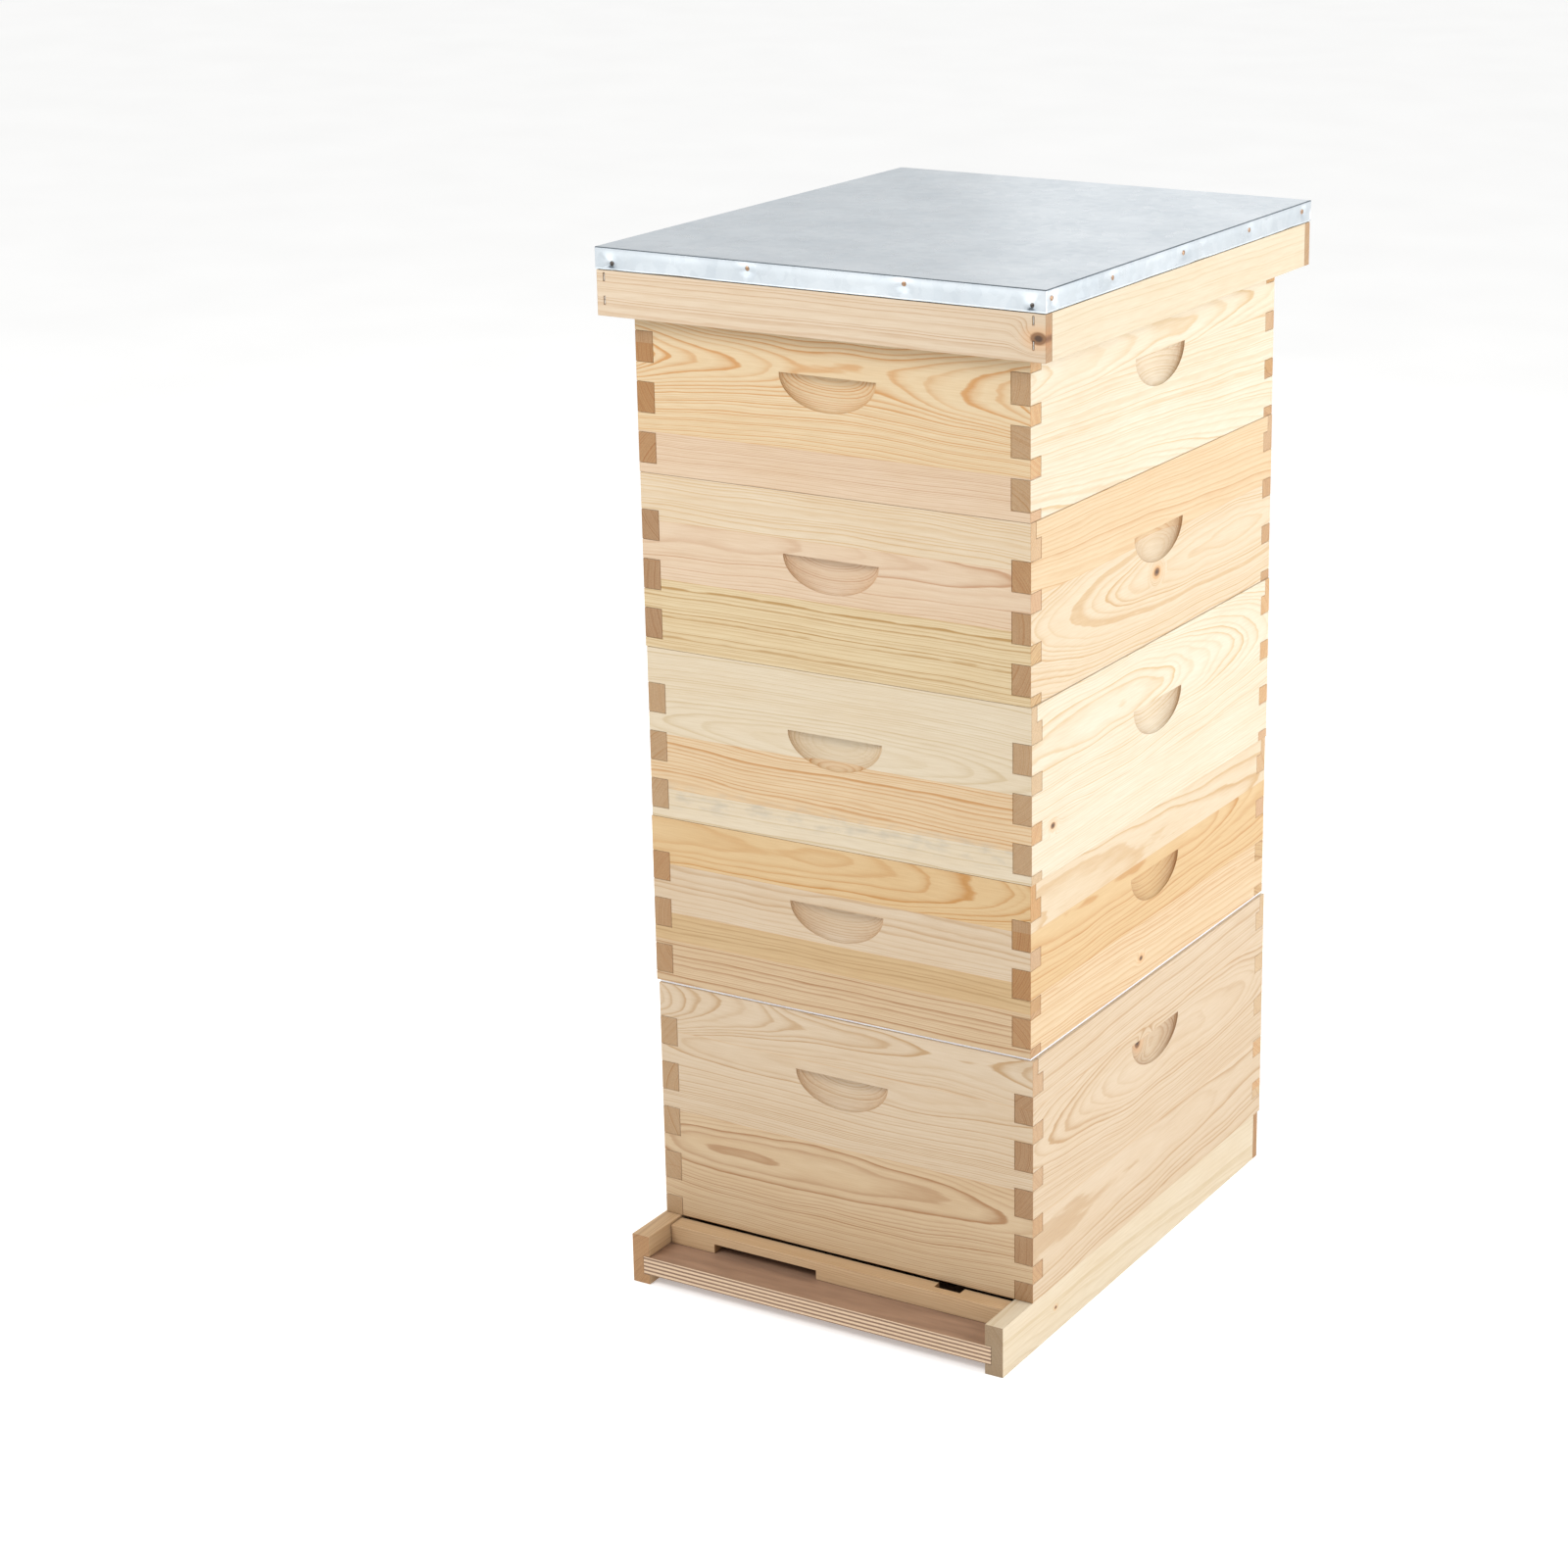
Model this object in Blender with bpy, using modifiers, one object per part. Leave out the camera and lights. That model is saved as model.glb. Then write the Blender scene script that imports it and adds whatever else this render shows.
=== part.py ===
"""A ten-frame stacked beehive: a bottom board with an entrance reducer, a deep brood box, a queen
excluder, four medium supers, an inner cover and a metal-topped telescoping cover, with its frames.

Metres, +Z up, the entrance towards -Y. The origin is under the middle of the hive, on the ground.
"""

import math

import bmesh
import bpy
from mathutils import Matrix, Vector

MM = 0.001
GAP = 0.3 * MM  # clearance between pieces that touch
OVERCUT = 5 * MM  # how far a cutter runs past the face that it opens

# Boxes
BOX_W = 412.75 * MM
BOX_L = 504.8 * MM
BOARD = 19.05 * MM
DEEP_H = 244.475 * MM
MEDIUM_H = 168.275 * MM
TOP_TAB = 35.0 * MM  # height of the front and back boards' top tab
FINGER_PITCH = 47.5 * MM
FINGER_H = 29.0 * MM  # height of a side board's finger
REST_H = 16.0 * MM  # the rebate that frames hang in
REST_W = 9.5 * MM
GRIP_W = 102 * MM  # handhold: width, height, depth, and its top edge's distance below the box top
GRIP_H = 33 * MM
GRIP_DEPTH = 11 * MM
GRIP_DOWN = 59 * MM
GRIP_SEGMENTS = 24

# Frames
FRAME_COUNT = 10
FRAME_PITCH = 34.925 * MM
TOP_BAR = Vector((27.0, 482.6, 19.0)) * MM
LUG_H = 9.5 * MM  # the top bar's ends, which hang in the rebate
END_BAR_T = 9.5 * MM
END_BAR_SPAN = 450.8 * MM  # over the outer faces of the two end bars
END_BAR_LOW_W = 28.6 * MM
SHOULDER_H = 75 * MM  # the end bar's wide upper part, which spaces the frames
BOTTOM_BAR = Vector((19.0, 449.8, 9.5)) * MM
COMB_T = 5.0 * MM
DEEP_FRAME_H = 228 * MM
MEDIUM_FRAME_H = 156 * MM

# Bottom board
BASE_W = 414.0 * MM
BASE_L = 558.8 * MM
BASE_FRONT = 57.0 * MM  # how far it runs out in front of the boxes
RAIL_T = 19.05 * MM
RAIL_H = 50.8 * MM
FLOOR_Z = 10.6 * MM
FLOOR_T = 18.4 * MM
DADO = 6.7 * MM
BACK_LIP = 9.5 * MM
REDUCER = 19.0 * MM
REDUCER_FRONT = 38.5 * MM  # from the front of the bottom board to the reducer
WIDE_NOTCH = (-136.5 * MM, -20.0 * MM)
SMALL_NOTCH = (106.5 * MM, 134.5 * MM)
NOTCH = 9.5 * MM

# Queen excluder and covers
EXCLUDER_T = 2.0 * MM
EXCLUDER_INSET = 2.0 * MM
INNER_H = 22.2 * MM
INNER_PANEL_T = 6.35 * MM
INNER_PANEL_Z = 6.4 * MM
INNER_GROOVE = 6.5 * MM
ESCAPE_HOLE = (89 * MM, 30 * MM)
COVER_W = 466.0 * MM
COVER_L = 550.0 * MM
COVER_FRONT = 24.0 * MM  # overhang in front of the boxes
COVER_H = 63.6 * MM
DECK_T = 20.1 * MM
SHEET_T = 0.6 * MM
SKIRT_H = 20.4 * MM
COVER_LIP = 11.0 * MM

# The stack, in the hive's own frame: the boxes' front face and what each tier is shifted by
HIVE_DEPTH = BASE_FRONT - COVER_FRONT + COVER_L
BOX_FRONT = BASE_FRONT - HIVE_DEPTH / 2
BOX_Y = BOX_FRONT + BOX_L / 2
TIER_SHIFT = {
    "brood_box": 1.5 * MM,
    "super_1": -1.0 * MM,
    "super_2": 0.0,
    "super_3": -1.0 * MM,
    "super_4": -1.5 * MM,
}


def clear_scene():
    for obj in list(bpy.data.objects):
        bpy.data.objects.remove(obj, do_unlink=True)


def new_collection(name, hidden=False):
    collection = bpy.data.collections.new(name)
    collection.hide_render = hidden
    bpy.context.scene.collection.children.link(collection)
    return collection


def finish(name, colour, roughness, metallic=0.0):
    material = bpy.data.materials.new(name)
    material.use_nodes = True
    shader = material.node_tree.nodes["Principled BSDF"]
    shader.inputs["Base Color"].default_value = (*colour, 1.0)
    shader.inputs["Roughness"].default_value = roughness
    shader.inputs["Metallic"].default_value = metallic
    material.diffuse_color = (*colour, 1.0)
    return material


clear_scene()
HIVE = new_collection("beehive")
CUTTERS = new_collection("beehive_cutters", hidden=True)
SHAPES = new_collection("beehive_shapes", hidden=True)
PINE = finish("planed pine", (0.72, 0.55, 0.36), 0.6)
FRAME_PINE = finish("frame pine", (0.76, 0.60, 0.40), 0.65)
PLYWOOD = finish("plywood", (0.38, 0.26, 0.17), 0.6)
STEEL = finish("galvanised steel", (0.62, 0.66, 0.70), 0.35, 1.0)
PLASTIC = finish("moulded polypropylene", (0.85, 0.86, 0.86), 0.4)


def add_blocks(bm, blocks):
    """Adds one box for each pair of low and high corners."""
    for low, high in blocks:
        size = Vector(high) - Vector(low)
        centre = (Vector(high) + Vector(low)) / 2
        place = Matrix.Translation(centre) @ Matrix.Diagonal((*size, 1.0))
        bmesh.ops.create_cube(bm, size=1.0, matrix=place)


def as_object(name, bm, collection):
    mesh = bpy.data.meshes.new(name)
    bm.to_mesh(mesh)
    bm.free()
    obj = bpy.data.objects.new(name, mesh)
    collection.objects.link(obj)
    return obj


def blocks_object(name, blocks, collection):
    bm = bmesh.new()
    add_blocks(bm, blocks)
    return as_object(name, bm, collection)


def helper(name, blocks):
    """A cutter, or a piece of a union, made of boxes that stay clear of each other."""
    obj = blocks_object(name, blocks, CUTTERS)
    obj.hide_render = True
    obj.display_type = "WIRE"
    return obj


def combine(obj, others, operation):
    """Gives the object one exact Boolean for each of the others."""
    for other in others:
        modifier = obj.modifiers.new(f"{operation.lower()} {other.name}", "BOOLEAN")
        modifier.operation = operation
        modifier.object = other


def finished_mesh(name, blocks, cutters=(), additions=()):
    """The mesh of some boxes with the additions joined on and the cutters taken away."""
    shape = blocks_object(name, blocks, SHAPES)
    combine(shape, additions, "UNION")
    combine(shape, cutters, "DIFFERENCE")
    bpy.context.view_layer.update()
    graph = bpy.context.evaluated_depsgraph_get()
    mesh = bpy.data.meshes.new_from_object(shape.evaluated_get(graph))
    mesh.name = name
    bpy.data.objects.remove(shape, do_unlink=True)
    return mesh


def place(name, mesh, material, parent, location=(0, 0, 0), turn=0.0):
    """Puts a piece in the hive, turned about its parent's vertical axis."""
    obj = bpy.data.objects.new(name, mesh)
    HIVE.objects.link(obj)
    obj.parent = parent
    obj.location = location
    obj.rotation_euler = (0, 0, turn)
    if not mesh.materials:
        mesh.materials.append(material)
    return obj


def tier(name, location):
    empty = bpy.data.objects.new(f"{name}_place", None)
    empty.location = location
    HIVE.objects.link(empty)
    return empty


def grip_cutter(name, top, face):
    """The handhold: the lower half of an ellipsoid, cut GRIP_DEPTH into the board's outer face.

    top is the height of the ledge and face the distance from the axis to the board's outer face,
    towards -Y. The ellipsoid's middle lies GAP outside the face, so that no corner lies on it."""
    bm = bmesh.new()
    bmesh.ops.create_uvsphere(
        bm, u_segments=GRIP_SEGMENTS, v_segments=GRIP_SEGMENTS // 2, radius=1.0
    )
    geometry = bm.verts[:] + bm.edges[:] + bm.faces[:]
    bmesh.ops.bisect_plane(
        bm, geom=geometry, dist=1e-6, plane_co=(0, 0, 0), plane_no=(0, 0, 1), clear_outer=True
    )
    bmesh.ops.holes_fill(bm, edges=[edge for edge in bm.edges if edge.is_boundary])
    half_turn = Matrix.Rotation(math.pi / GRIP_SEGMENTS, 4, "Z")
    size = Matrix.Diagonal((GRIP_W / 2, GRIP_DEPTH + GAP, GRIP_H, 1))
    there = Matrix.Translation((0, -face - GAP, top))
    bmesh.ops.transform(bm, matrix=there @ size @ half_turn, verts=bm.verts)
    obj = as_object(name, bm, CUTTERS)
    obj.hide_render = True
    obj.display_type = "WIRE"
    return obj


def finger_spans(height):
    """Bottom and top of each side-board finger, counted down from the box's top edge."""
    spans = []
    top = height - TOP_TAB
    while top > 0:
        spans.append((max(top - FINGER_H, 0.0), top))
        top -= FINGER_PITCH
    return spans


def tab_spans(height):
    """Bottom and top of each front-board tab between the side-board fingers, below the top one."""
    fingers = finger_spans(height)
    gaps = [(low[1], high[0]) for high, low in zip(fingers, fingers[1:])]
    if fingers[-1][0] > 0:
        gaps.append((-OVERCUT, fingers[-1][0]))
    return gaps


def both_ends(axis, inner, outer, across, spans):
    """Boxes at the two ends of a board, from inner to outer along the axis, one for each span."""
    blocks = []
    for bottom, top in spans:
        for low, high in ((-outer, -inner), (inner, outer)):
            if axis == "X":
                blocks.append(((low, across[0], bottom), (high, across[1], top)))
            else:
                blocks.append(((across[0], low, bottom), (across[1], high, top)))
    return blocks


def end_board(name, height):
    """The front board of a box, which is also its back board turned round."""
    outer = -BOX_L / 2
    inner = outer + BOARD
    slots = []
    for bottom, top in finger_spans(height):
        slots.append((bottom - (GAP / 2 if bottom > 0 else OVERCUT), top + GAP / 2))
    across = (outer - OVERCUT, inner + OVERCUT)
    half = BOX_W / 2
    cutters = [
        helper(f"{name}_slots", both_ends("X", half - BOARD - GAP, half + OVERCUT, across, slots)),
        helper(
            f"{name}_rest",
            [
                (
                    (-half - OVERCUT, inner - REST_W, height - REST_H),
                    (half + OVERCUT, inner + OVERCUT, height + OVERCUT),
                )
            ],
        ),
        grip_cutter(f"{name}_grip", height - GRIP_DOWN, BOX_L / 2),
    ]
    return finished_mesh(name, [((-half, outer, 0), (half, inner, height))], cutters)


def side_board(name, height):
    """The board of a box's right side before it is turned: its outer face is towards -Y here."""
    outer = -BOX_W / 2
    inner = outer + BOARD
    across = (outer - OVERCUT, inner + OVERCUT)
    end = BOX_L / 2
    gaps = [(bottom - GAP / 2, top + GAP / 2) for bottom, top in tab_spans(height)]
    below_rest = (height - TOP_TAB - GAP / 2, height - REST_H + GAP)
    corner = (height - TOP_TAB - GAP / 2, height + OVERCUT)
    shoulder = end - BOARD - GAP
    cutters = [
        helper(f"{name}_gaps", both_ends("X", shoulder, end + OVERCUT, across, gaps)),
        helper(f"{name}_tab", both_ends("X", shoulder, end + OVERCUT, across, [below_rest])),
        helper(
            f"{name}_corner",
            both_ends("X", shoulder + REST_W, end + OVERCUT, across, [corner]),
        ),
        grip_cutter(f"{name}_grip", height - GRIP_DOWN, BOX_W / 2),
    ]
    return finished_mesh(name, [((-end, outer, 0), (end, inner, height))], cutters)


def frame_parts(shoulder_w, height):
    """The pieces of a wooden frame, hung at z = 0: bars overlap where they are nailed together."""
    half_l = END_BAR_SPAN / 2
    bottom = LUG_H - height
    top = TOP_BAR / 2
    parts = {
        "bar": [
            ((-top.x, -half_l - GAP, LUG_H - TOP_BAR.z), (top.x, half_l + GAP, LUG_H)),
        ],
        "lugs": [((-top.x + MM, -top.y, 0), (top.x - MM, top.y, LUG_H - 0.5 * MM))],
        "comb": [
            (
                (-COMB_T / 2, -half_l + END_BAR_T / 2, bottom + BOTTOM_BAR.z / 2),
                (COMB_T / 2, half_l - END_BAR_T / 2, -MM),
            )
        ],
        "base": [
            (
                (-BOTTOM_BAR.x / 2, -BOTTOM_BAR.y / 2, bottom),
                (BOTTOM_BAR.x / 2, BOTTOM_BAR.y / 2, bottom + BOTTOM_BAR.z),
            )
        ],
    }
    for side, (low, high) in {
        "front": (-half_l, -half_l + END_BAR_T),
        "back": (half_l - END_BAR_T, half_l),
    }.items():
        parts[f"{side}_end"] = [
            (
                (-END_BAR_LOW_W / 2, low, bottom + MM),
                (END_BAR_LOW_W / 2, high, -SHOULDER_H / 2),
            )
        ]
        parts[f"{side}_shoulder"] = [
            (
                (-shoulder_w / 2, low, LUG_H - MM - SHOULDER_H),
                (shoulder_w / 2, high, LUG_H - MM),
            )
        ]
    return parts


def frame_mesh(name, height, shoulder_w):
    parts = frame_parts(shoulder_w, height)
    bar = parts.pop("bar")
    additions = [helper(f"{name}_{part}", blocks) for part, blocks in parts.items()]
    return finished_mesh(name, bar, additions=additions)


def frame_x(index):
    return (index - (FRAME_COUNT - 1) / 2) * FRAME_PITCH


def frame_set_mesh(name, single):
    """Ten frames side by side as one body, their shoulders overlapping by a hair."""
    copies = []
    for index in range(FRAME_COUNT):
        copy = bpy.data.objects.new(f"{name}_{index}", single)
        copy.location = (frame_x(index), 0, 0)
        copy.hide_render = True
        copy.display_type = "WIRE"
        CUTTERS.objects.link(copy)
        copies.append(copy)
    return finished_mesh(name, frame_set_core(), additions=copies)


def frame_set_core():
    """A strip that runs through the front shoulders of all ten frames."""
    half_w = (FRAME_COUNT * FRAME_PITCH - FRAME_PITCH / 2) / 2
    front = -END_BAR_SPAN / 2
    return [
        ((-half_w, front + MM, -SHOULDER_H / 2), (half_w, front + END_BAR_T - MM, -SHOULDER_H / 4))
    ]


def rebated_rail(name, width, thickness, height, side_t, lip, groove=None):
    """A cross rail whose ends are stepped: the side pieces butt behind its outer lip.

    Its outer face is at y = 0, towards -Y, and it fills y = 0 to thickness."""
    half = width / 2
    cutters = [
        helper(
            f"{name}_steps",
            both_ends(
                "X",
                half - side_t - GAP,
                half + OVERCUT,
                (lip, thickness + OVERCUT),
                [(-OVERCUT, height + OVERCUT)],
            ),
        )
    ]
    if groove:
        bottom, top, depth = groove
        cutters.append(
            helper(
                f"{name}_groove",
                [
                    (
                        (-half - OVERCUT, thickness - depth, bottom),
                        (half + OVERCUT, thickness + OVERCUT, top),
                    )
                ],
            )
        )
    return finished_mesh(name, [((-half, 0, 0), (half, thickness, height))], cutters)


def long_rail(name, length, thickness, height, groove=None):
    """A side rail along Y, centred in Y, its outer face at x = 0 towards -X, filling to thickness."""
    cutters = []
    if groove:
        bottom, top, depth = groove
        cutters.append(
            helper(
                f"{name}_groove",
                [
                    (
                        (thickness - depth, -length / 2 - OVERCUT, bottom),
                        (thickness + OVERCUT, length / 2 + OVERCUT, top),
                    )
                ],
            )
        )
    return finished_mesh(name, [((0, -length / 2, 0), (thickness, length / 2, height))], cutters)


def build_bottom_board():
    front = -HIVE_DEPTH / 2
    back = front + BASE_L
    root = tier("bottom_board", (0, front, 0))
    groove = (FLOOR_Z - GAP, FLOOR_Z + FLOOR_T + GAP, DADO)
    side_l = BASE_L - BACK_LIP - GAP
    side = long_rail("bottom_side_rail", side_l, RAIL_T, RAIL_H, groove)
    half = BASE_W / 2
    place("bottom_rail_left", side, PINE, root, (-half, side_l / 2, 0))
    place("bottom_rail_right", side, PINE, root, (half, side_l / 2, 0), math.pi)
    rail = rebated_rail("bottom_back_rail", BASE_W, RAIL_T, RAIL_H, RAIL_T, BACK_LIP, groove)
    place("bottom_rail_back", rail, PINE, root, (0, back - front, 0), math.pi)
    floor_w = BASE_W - 2 * (RAIL_T - DADO) - 2 * GAP
    floor_l = BASE_L - RAIL_T + DADO - GAP
    floor = finished_mesh(
        "floor", [((-floor_w / 2, 0, FLOOR_Z), (floor_w / 2, floor_l, FLOOR_Z + FLOOR_T))]
    )
    place("floor_panel", floor, PLYWOOD, root)
    build_reducer(root)


def build_reducer(root):
    half = BASE_W / 2 - RAIL_T - 2 * GAP
    notches = [
        helper(
            "wide_notch",
            [((WIDE_NOTCH[0], -OVERCUT, -OVERCUT), (WIDE_NOTCH[1], REDUCER + OVERCUT, NOTCH))],
        ),
        helper(
            "small_notch",
            [
                (
                    (SMALL_NOTCH[0], REDUCER - NOTCH, -OVERCUT),
                    (SMALL_NOTCH[1], REDUCER + OVERCUT, REDUCER + OVERCUT),
                )
            ],
        ),
    ]
    stick = finished_mesh("reducer", [((-half, 0, 0), (half, REDUCER, REDUCER))], notches)
    floor_top = FLOOR_Z + FLOOR_T + GAP
    place("entrance_reducer", stick, PINE, root, (0, REDUCER_FRONT, floor_top))


def build_box(name, z, boards):
    ends, sides = boards
    root = tier(name, (TIER_SHIFT[name], BOX_Y, z))
    place(f"{name}_front", ends, PINE, root)
    place(f"{name}_back", ends, PINE, root, turn=math.pi)
    place(f"{name}_right", sides, PINE, root, turn=math.pi / 2)
    place(f"{name}_left", sides, PINE, root, turn=-math.pi / 2)
    return root


def hang_frames(name, root, height, mesh):
    for index in range(FRAME_COUNT):
        at = (frame_x(index), 0, height - REST_H + GAP)
        place(f"{name}_frame_{index + 1:02d}", mesh, FRAME_PINE, root, at)


def build_excluder(z):
    root = tier("queen_excluder", (0, BOX_Y, z))
    half_w = BOX_W / 2 - EXCLUDER_INSET
    half_l = BOX_L / 2 - EXCLUDER_INSET
    sheet = finished_mesh(
        "excluder", [((-half_w, -half_l, 0), (half_w, half_l, EXCLUDER_T))]
    )
    place("queen_excluder", sheet, PLASTIC, root)


def build_inner_cover(z):
    root = tier("inner_cover", (TIER_SHIFT["super_4"], BOX_Y, z))
    top = INNER_PANEL_Z + INNER_PANEL_T
    groove = (INNER_PANEL_Z - GAP, top + GAP, INNER_GROOVE)
    cross = rebated_rail("inner_cross", BOX_W, BOARD, INNER_H, BOARD, REST_W, groove)
    side_l = BOX_L - 2 * (REST_W + GAP)
    side = long_rail("inner_side", side_l, BOARD, INNER_H, groove)
    half_w = BOX_W / 2
    half_l = BOX_L / 2
    place("inner_cover_rim_front", cross, PINE, root, (0, -half_l, 0))
    place("inner_cover_rim_back", cross, PINE, root, (0, half_l, 0), math.pi)
    place("inner_cover_rim_left", side, PINE, root, (-half_w, 0, 0))
    place("inner_cover_rim_right", side, PINE, root, (half_w, 0, 0), math.pi)
    reach = BOARD - INNER_GROOVE + GAP
    low = (-half_w + reach, -half_l + reach, INNER_PANEL_Z)
    high = (half_w - reach, half_l - reach, top)
    hole = escape_hole_cutter()
    place("inner_cover_panel", finished_mesh("inner_panel", [(low, high)], [hole]), PLYWOOD, root)


def escape_hole_cutter():
    """An oblong with round ends, made from a cylinder whose two halves are drawn apart."""
    length, width = ESCAPE_HOLE
    bm = bmesh.new()
    bmesh.ops.create_cone(
        bm, cap_ends=True, segments=32, radius1=width / 2, radius2=width / 2, depth=60 * MM
    )
    for vert in bm.verts:
        vert.co.x += math.copysign((length - width) / 2, vert.co.x)
    obj = as_object("escape_hole", bm, CUTTERS)
    obj.hide_render = True
    obj.display_type = "WIRE"
    return obj


def build_outer_cover(top):
    """The cover, whose deck lies on four rim boards and carries a folded sheet over its edges."""
    centre = -HIVE_DEPTH / 2 + BASE_FRONT - COVER_FRONT + COVER_L / 2
    root = tier("outer_cover", (0, centre, top - COVER_H))
    half_w = COVER_W / 2 - SHEET_T - GAP
    half_l = COVER_L / 2 - SHEET_T - GAP
    deck_low = COVER_H - SHEET_T - GAP - DECK_T
    deck = finished_mesh(
        "deck", [((-half_w, -half_l, deck_low), (half_w, half_l, deck_low + DECK_T))]
    )
    place("outer_cover_deck", deck, PLYWOOD, root)
    rim_h = deck_low - GAP
    cross = rebated_rail("rim_cross", 2 * half_w, BOARD, rim_h, BOARD, COVER_LIP)
    side = long_rail("rim_side", 2 * (half_l - COVER_LIP - GAP), BOARD, rim_h)
    place("outer_cover_rim_front", cross, PINE, root, (0, -half_l, 0))
    place("outer_cover_rim_back", cross, PINE, root, (0, half_l, 0), math.pi)
    place("outer_cover_rim_left", side, PINE, root, (-half_w, 0, 0))
    place("outer_cover_rim_right", side, PINE, root, (half_w, 0, 0), math.pi)
    build_sheet(root)


def build_sheet(root):
    """The sheet: the outer faces of a shallow tray upside down, thickened inwards."""
    bm = bmesh.new()
    half_w = COVER_W / 2
    half_l = COVER_L / 2
    add_blocks(bm, [((-half_w, -half_l, COVER_H - SKIRT_H), (half_w, half_l, COVER_H))])
    lowest = min(bm.faces, key=lambda face: face.calc_center_median().z)
    bmesh.ops.delete(bm, geom=[lowest], context="FACES_ONLY")
    mesh = bpy.data.meshes.new("outer_cover_sheet")
    bm.to_mesh(mesh)
    bm.free()
    sheet = place("outer_cover_sheet", mesh, STEEL, root)
    wall = sheet.modifiers.new("sheet metal", "SOLIDIFY")
    wall.thickness = SHEET_T
    wall.offset = -1.0
    wall.use_even_offset = True


def build_hive():
    build_bottom_board()
    deep = (end_board("deep_end", DEEP_H), side_board("deep_side", DEEP_H))
    medium = (end_board("medium_end", MEDIUM_H), side_board("medium_side", MEDIUM_H))
    apart = FRAME_PITCH - GAP
    deep_frame = frame_mesh("deep_frame", DEEP_FRAME_H, apart)
    medium_frame = frame_mesh("medium_frame", MEDIUM_FRAME_H, apart)
    joined_frame = frame_mesh("joined_frame", MEDIUM_FRAME_H, FRAME_PITCH + 0.4 * MM)
    joined_set = frame_set_mesh("frame_set", joined_frame)

    z = RAIL_H + GAP
    brood = build_box("brood_box", z, deep)
    hang_frames("brood", brood, DEEP_H, deep_frame)
    z += DEEP_H + GAP
    build_excluder(z)
    z += EXCLUDER_T + GAP
    for number in range(1, 5):
        name = f"super_{number}"
        root = build_box(name, z, medium)
        if number < 4:
            at = (0, 0, MEDIUM_H - REST_H + GAP)
            place(f"{name}_frame_set", joined_set, FRAME_PINE, root, at)
        else:
            hang_frames(name, root, MEDIUM_H, medium_frame)
        z += MEDIUM_H + GAP
    build_inner_cover(z)
    z += INNER_H + GAP
    build_outer_cover(z + DECK_T + GAP + SHEET_T)


build_hive()
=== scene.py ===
"""The finished look of a ten-frame stacked beehive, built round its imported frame.

Every wooden board, the folded sheet, the frames with their foundation and the fasteners are made as
numpy surfaces in the frame's own metres, dressed in node materials and hung on the frame's bodies.
"""

import logging
import math
from dataclasses import dataclass, field
from enum import Enum

import bpy
import numpy as np
from mathutils import Matrix, Vector


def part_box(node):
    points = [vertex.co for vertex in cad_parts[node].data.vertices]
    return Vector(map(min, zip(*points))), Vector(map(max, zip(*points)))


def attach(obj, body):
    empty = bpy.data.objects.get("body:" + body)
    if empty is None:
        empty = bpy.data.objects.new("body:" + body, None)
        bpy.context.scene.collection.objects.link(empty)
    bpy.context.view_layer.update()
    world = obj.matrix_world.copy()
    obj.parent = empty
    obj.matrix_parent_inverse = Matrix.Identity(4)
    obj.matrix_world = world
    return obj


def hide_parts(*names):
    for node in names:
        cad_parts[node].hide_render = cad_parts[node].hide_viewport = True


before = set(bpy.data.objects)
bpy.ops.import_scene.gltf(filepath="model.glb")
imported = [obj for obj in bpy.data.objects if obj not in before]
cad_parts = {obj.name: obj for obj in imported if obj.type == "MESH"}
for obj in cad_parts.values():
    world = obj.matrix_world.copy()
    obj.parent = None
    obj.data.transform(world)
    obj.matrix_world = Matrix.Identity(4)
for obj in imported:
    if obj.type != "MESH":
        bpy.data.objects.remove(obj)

LOG = logging.getLogger("beehive")
MM = 0.001
GAP = 0.3 * MM
PER_MM = (1 / MM,) * 3
NEAR = 0.01 * MM
DEEP_FRAME = 0.228
MEDIUM_FRAME = 0.156
Array = np.ndarray
Span = tuple[float, float]
Colour = tuple[float, float, float, float]
Tree = bpy.types.NodeTree
Socket = bpy.types.NodeSocket
Sockets = tuple[Socket, ...]


# --------------------------------------------------------------------------- mesh tools


@dataclass
class Surface:
    """Vertices, faces and one finish index a face, gathered from several numpy patches."""

    points: list[Array] = field(default_factory=list)
    faces: list[Array] = field(default_factory=list)
    finishes: list[Array] = field(default_factory=list)
    count: int = 0

    def add(self, points: Array, faces: Array, finish: int = 0) -> "Surface":
        """Appends a patch.

        Args:
            points: (n, 3) places in metres.
            faces: (m, 3) or (m, 4) indices into those points.
            finish: the material index of all its faces.

        Returns:
            This surface, so that calls can be chained.
        """
        self.points.append(np.asarray(points, float))
        self.faces.append(np.asarray(faces, int) + self.count)
        self.finishes.append(np.full(len(faces), finish, np.int32))
        self.count += len(points)
        return self

    def join(self, other: "Surface", offset: tuple[float, float, float]) -> None:
        """Appends a copy of another surface, shifted by the offset in metres."""
        self.points += [points + np.asarray(offset) for points in other.points]
        self.faces += [faces + self.count for faces in other.faces]
        self.finishes += other.finishes
        self.count += other.count

    def object(self, name: str, materials: list[bpy.types.Material]) -> bpy.types.Object:
        """Makes the surface an object at the origin.

        Args:
            name: the object's name.
            materials: what the finish indices point at.

        Returns:
            The new object, linked to the scene.
        """
        mesh = bpy.data.meshes.new(name)
        # A quad with a doubled corner is really a triangle.
        faces = [list(dict.fromkeys(face)) for block in self.faces for face in block.tolist()]
        mesh.from_pydata(np.concatenate(self.points).tolist(), [], faces)
        mesh.polygons.foreach_set("material_index", np.concatenate(self.finishes))
        for material in materials:
            mesh.materials.append(material)
        mesh.update()
        obj = bpy.data.objects.new(name, mesh)
        bpy.context.scene.collection.objects.link(obj)
        return obj


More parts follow.
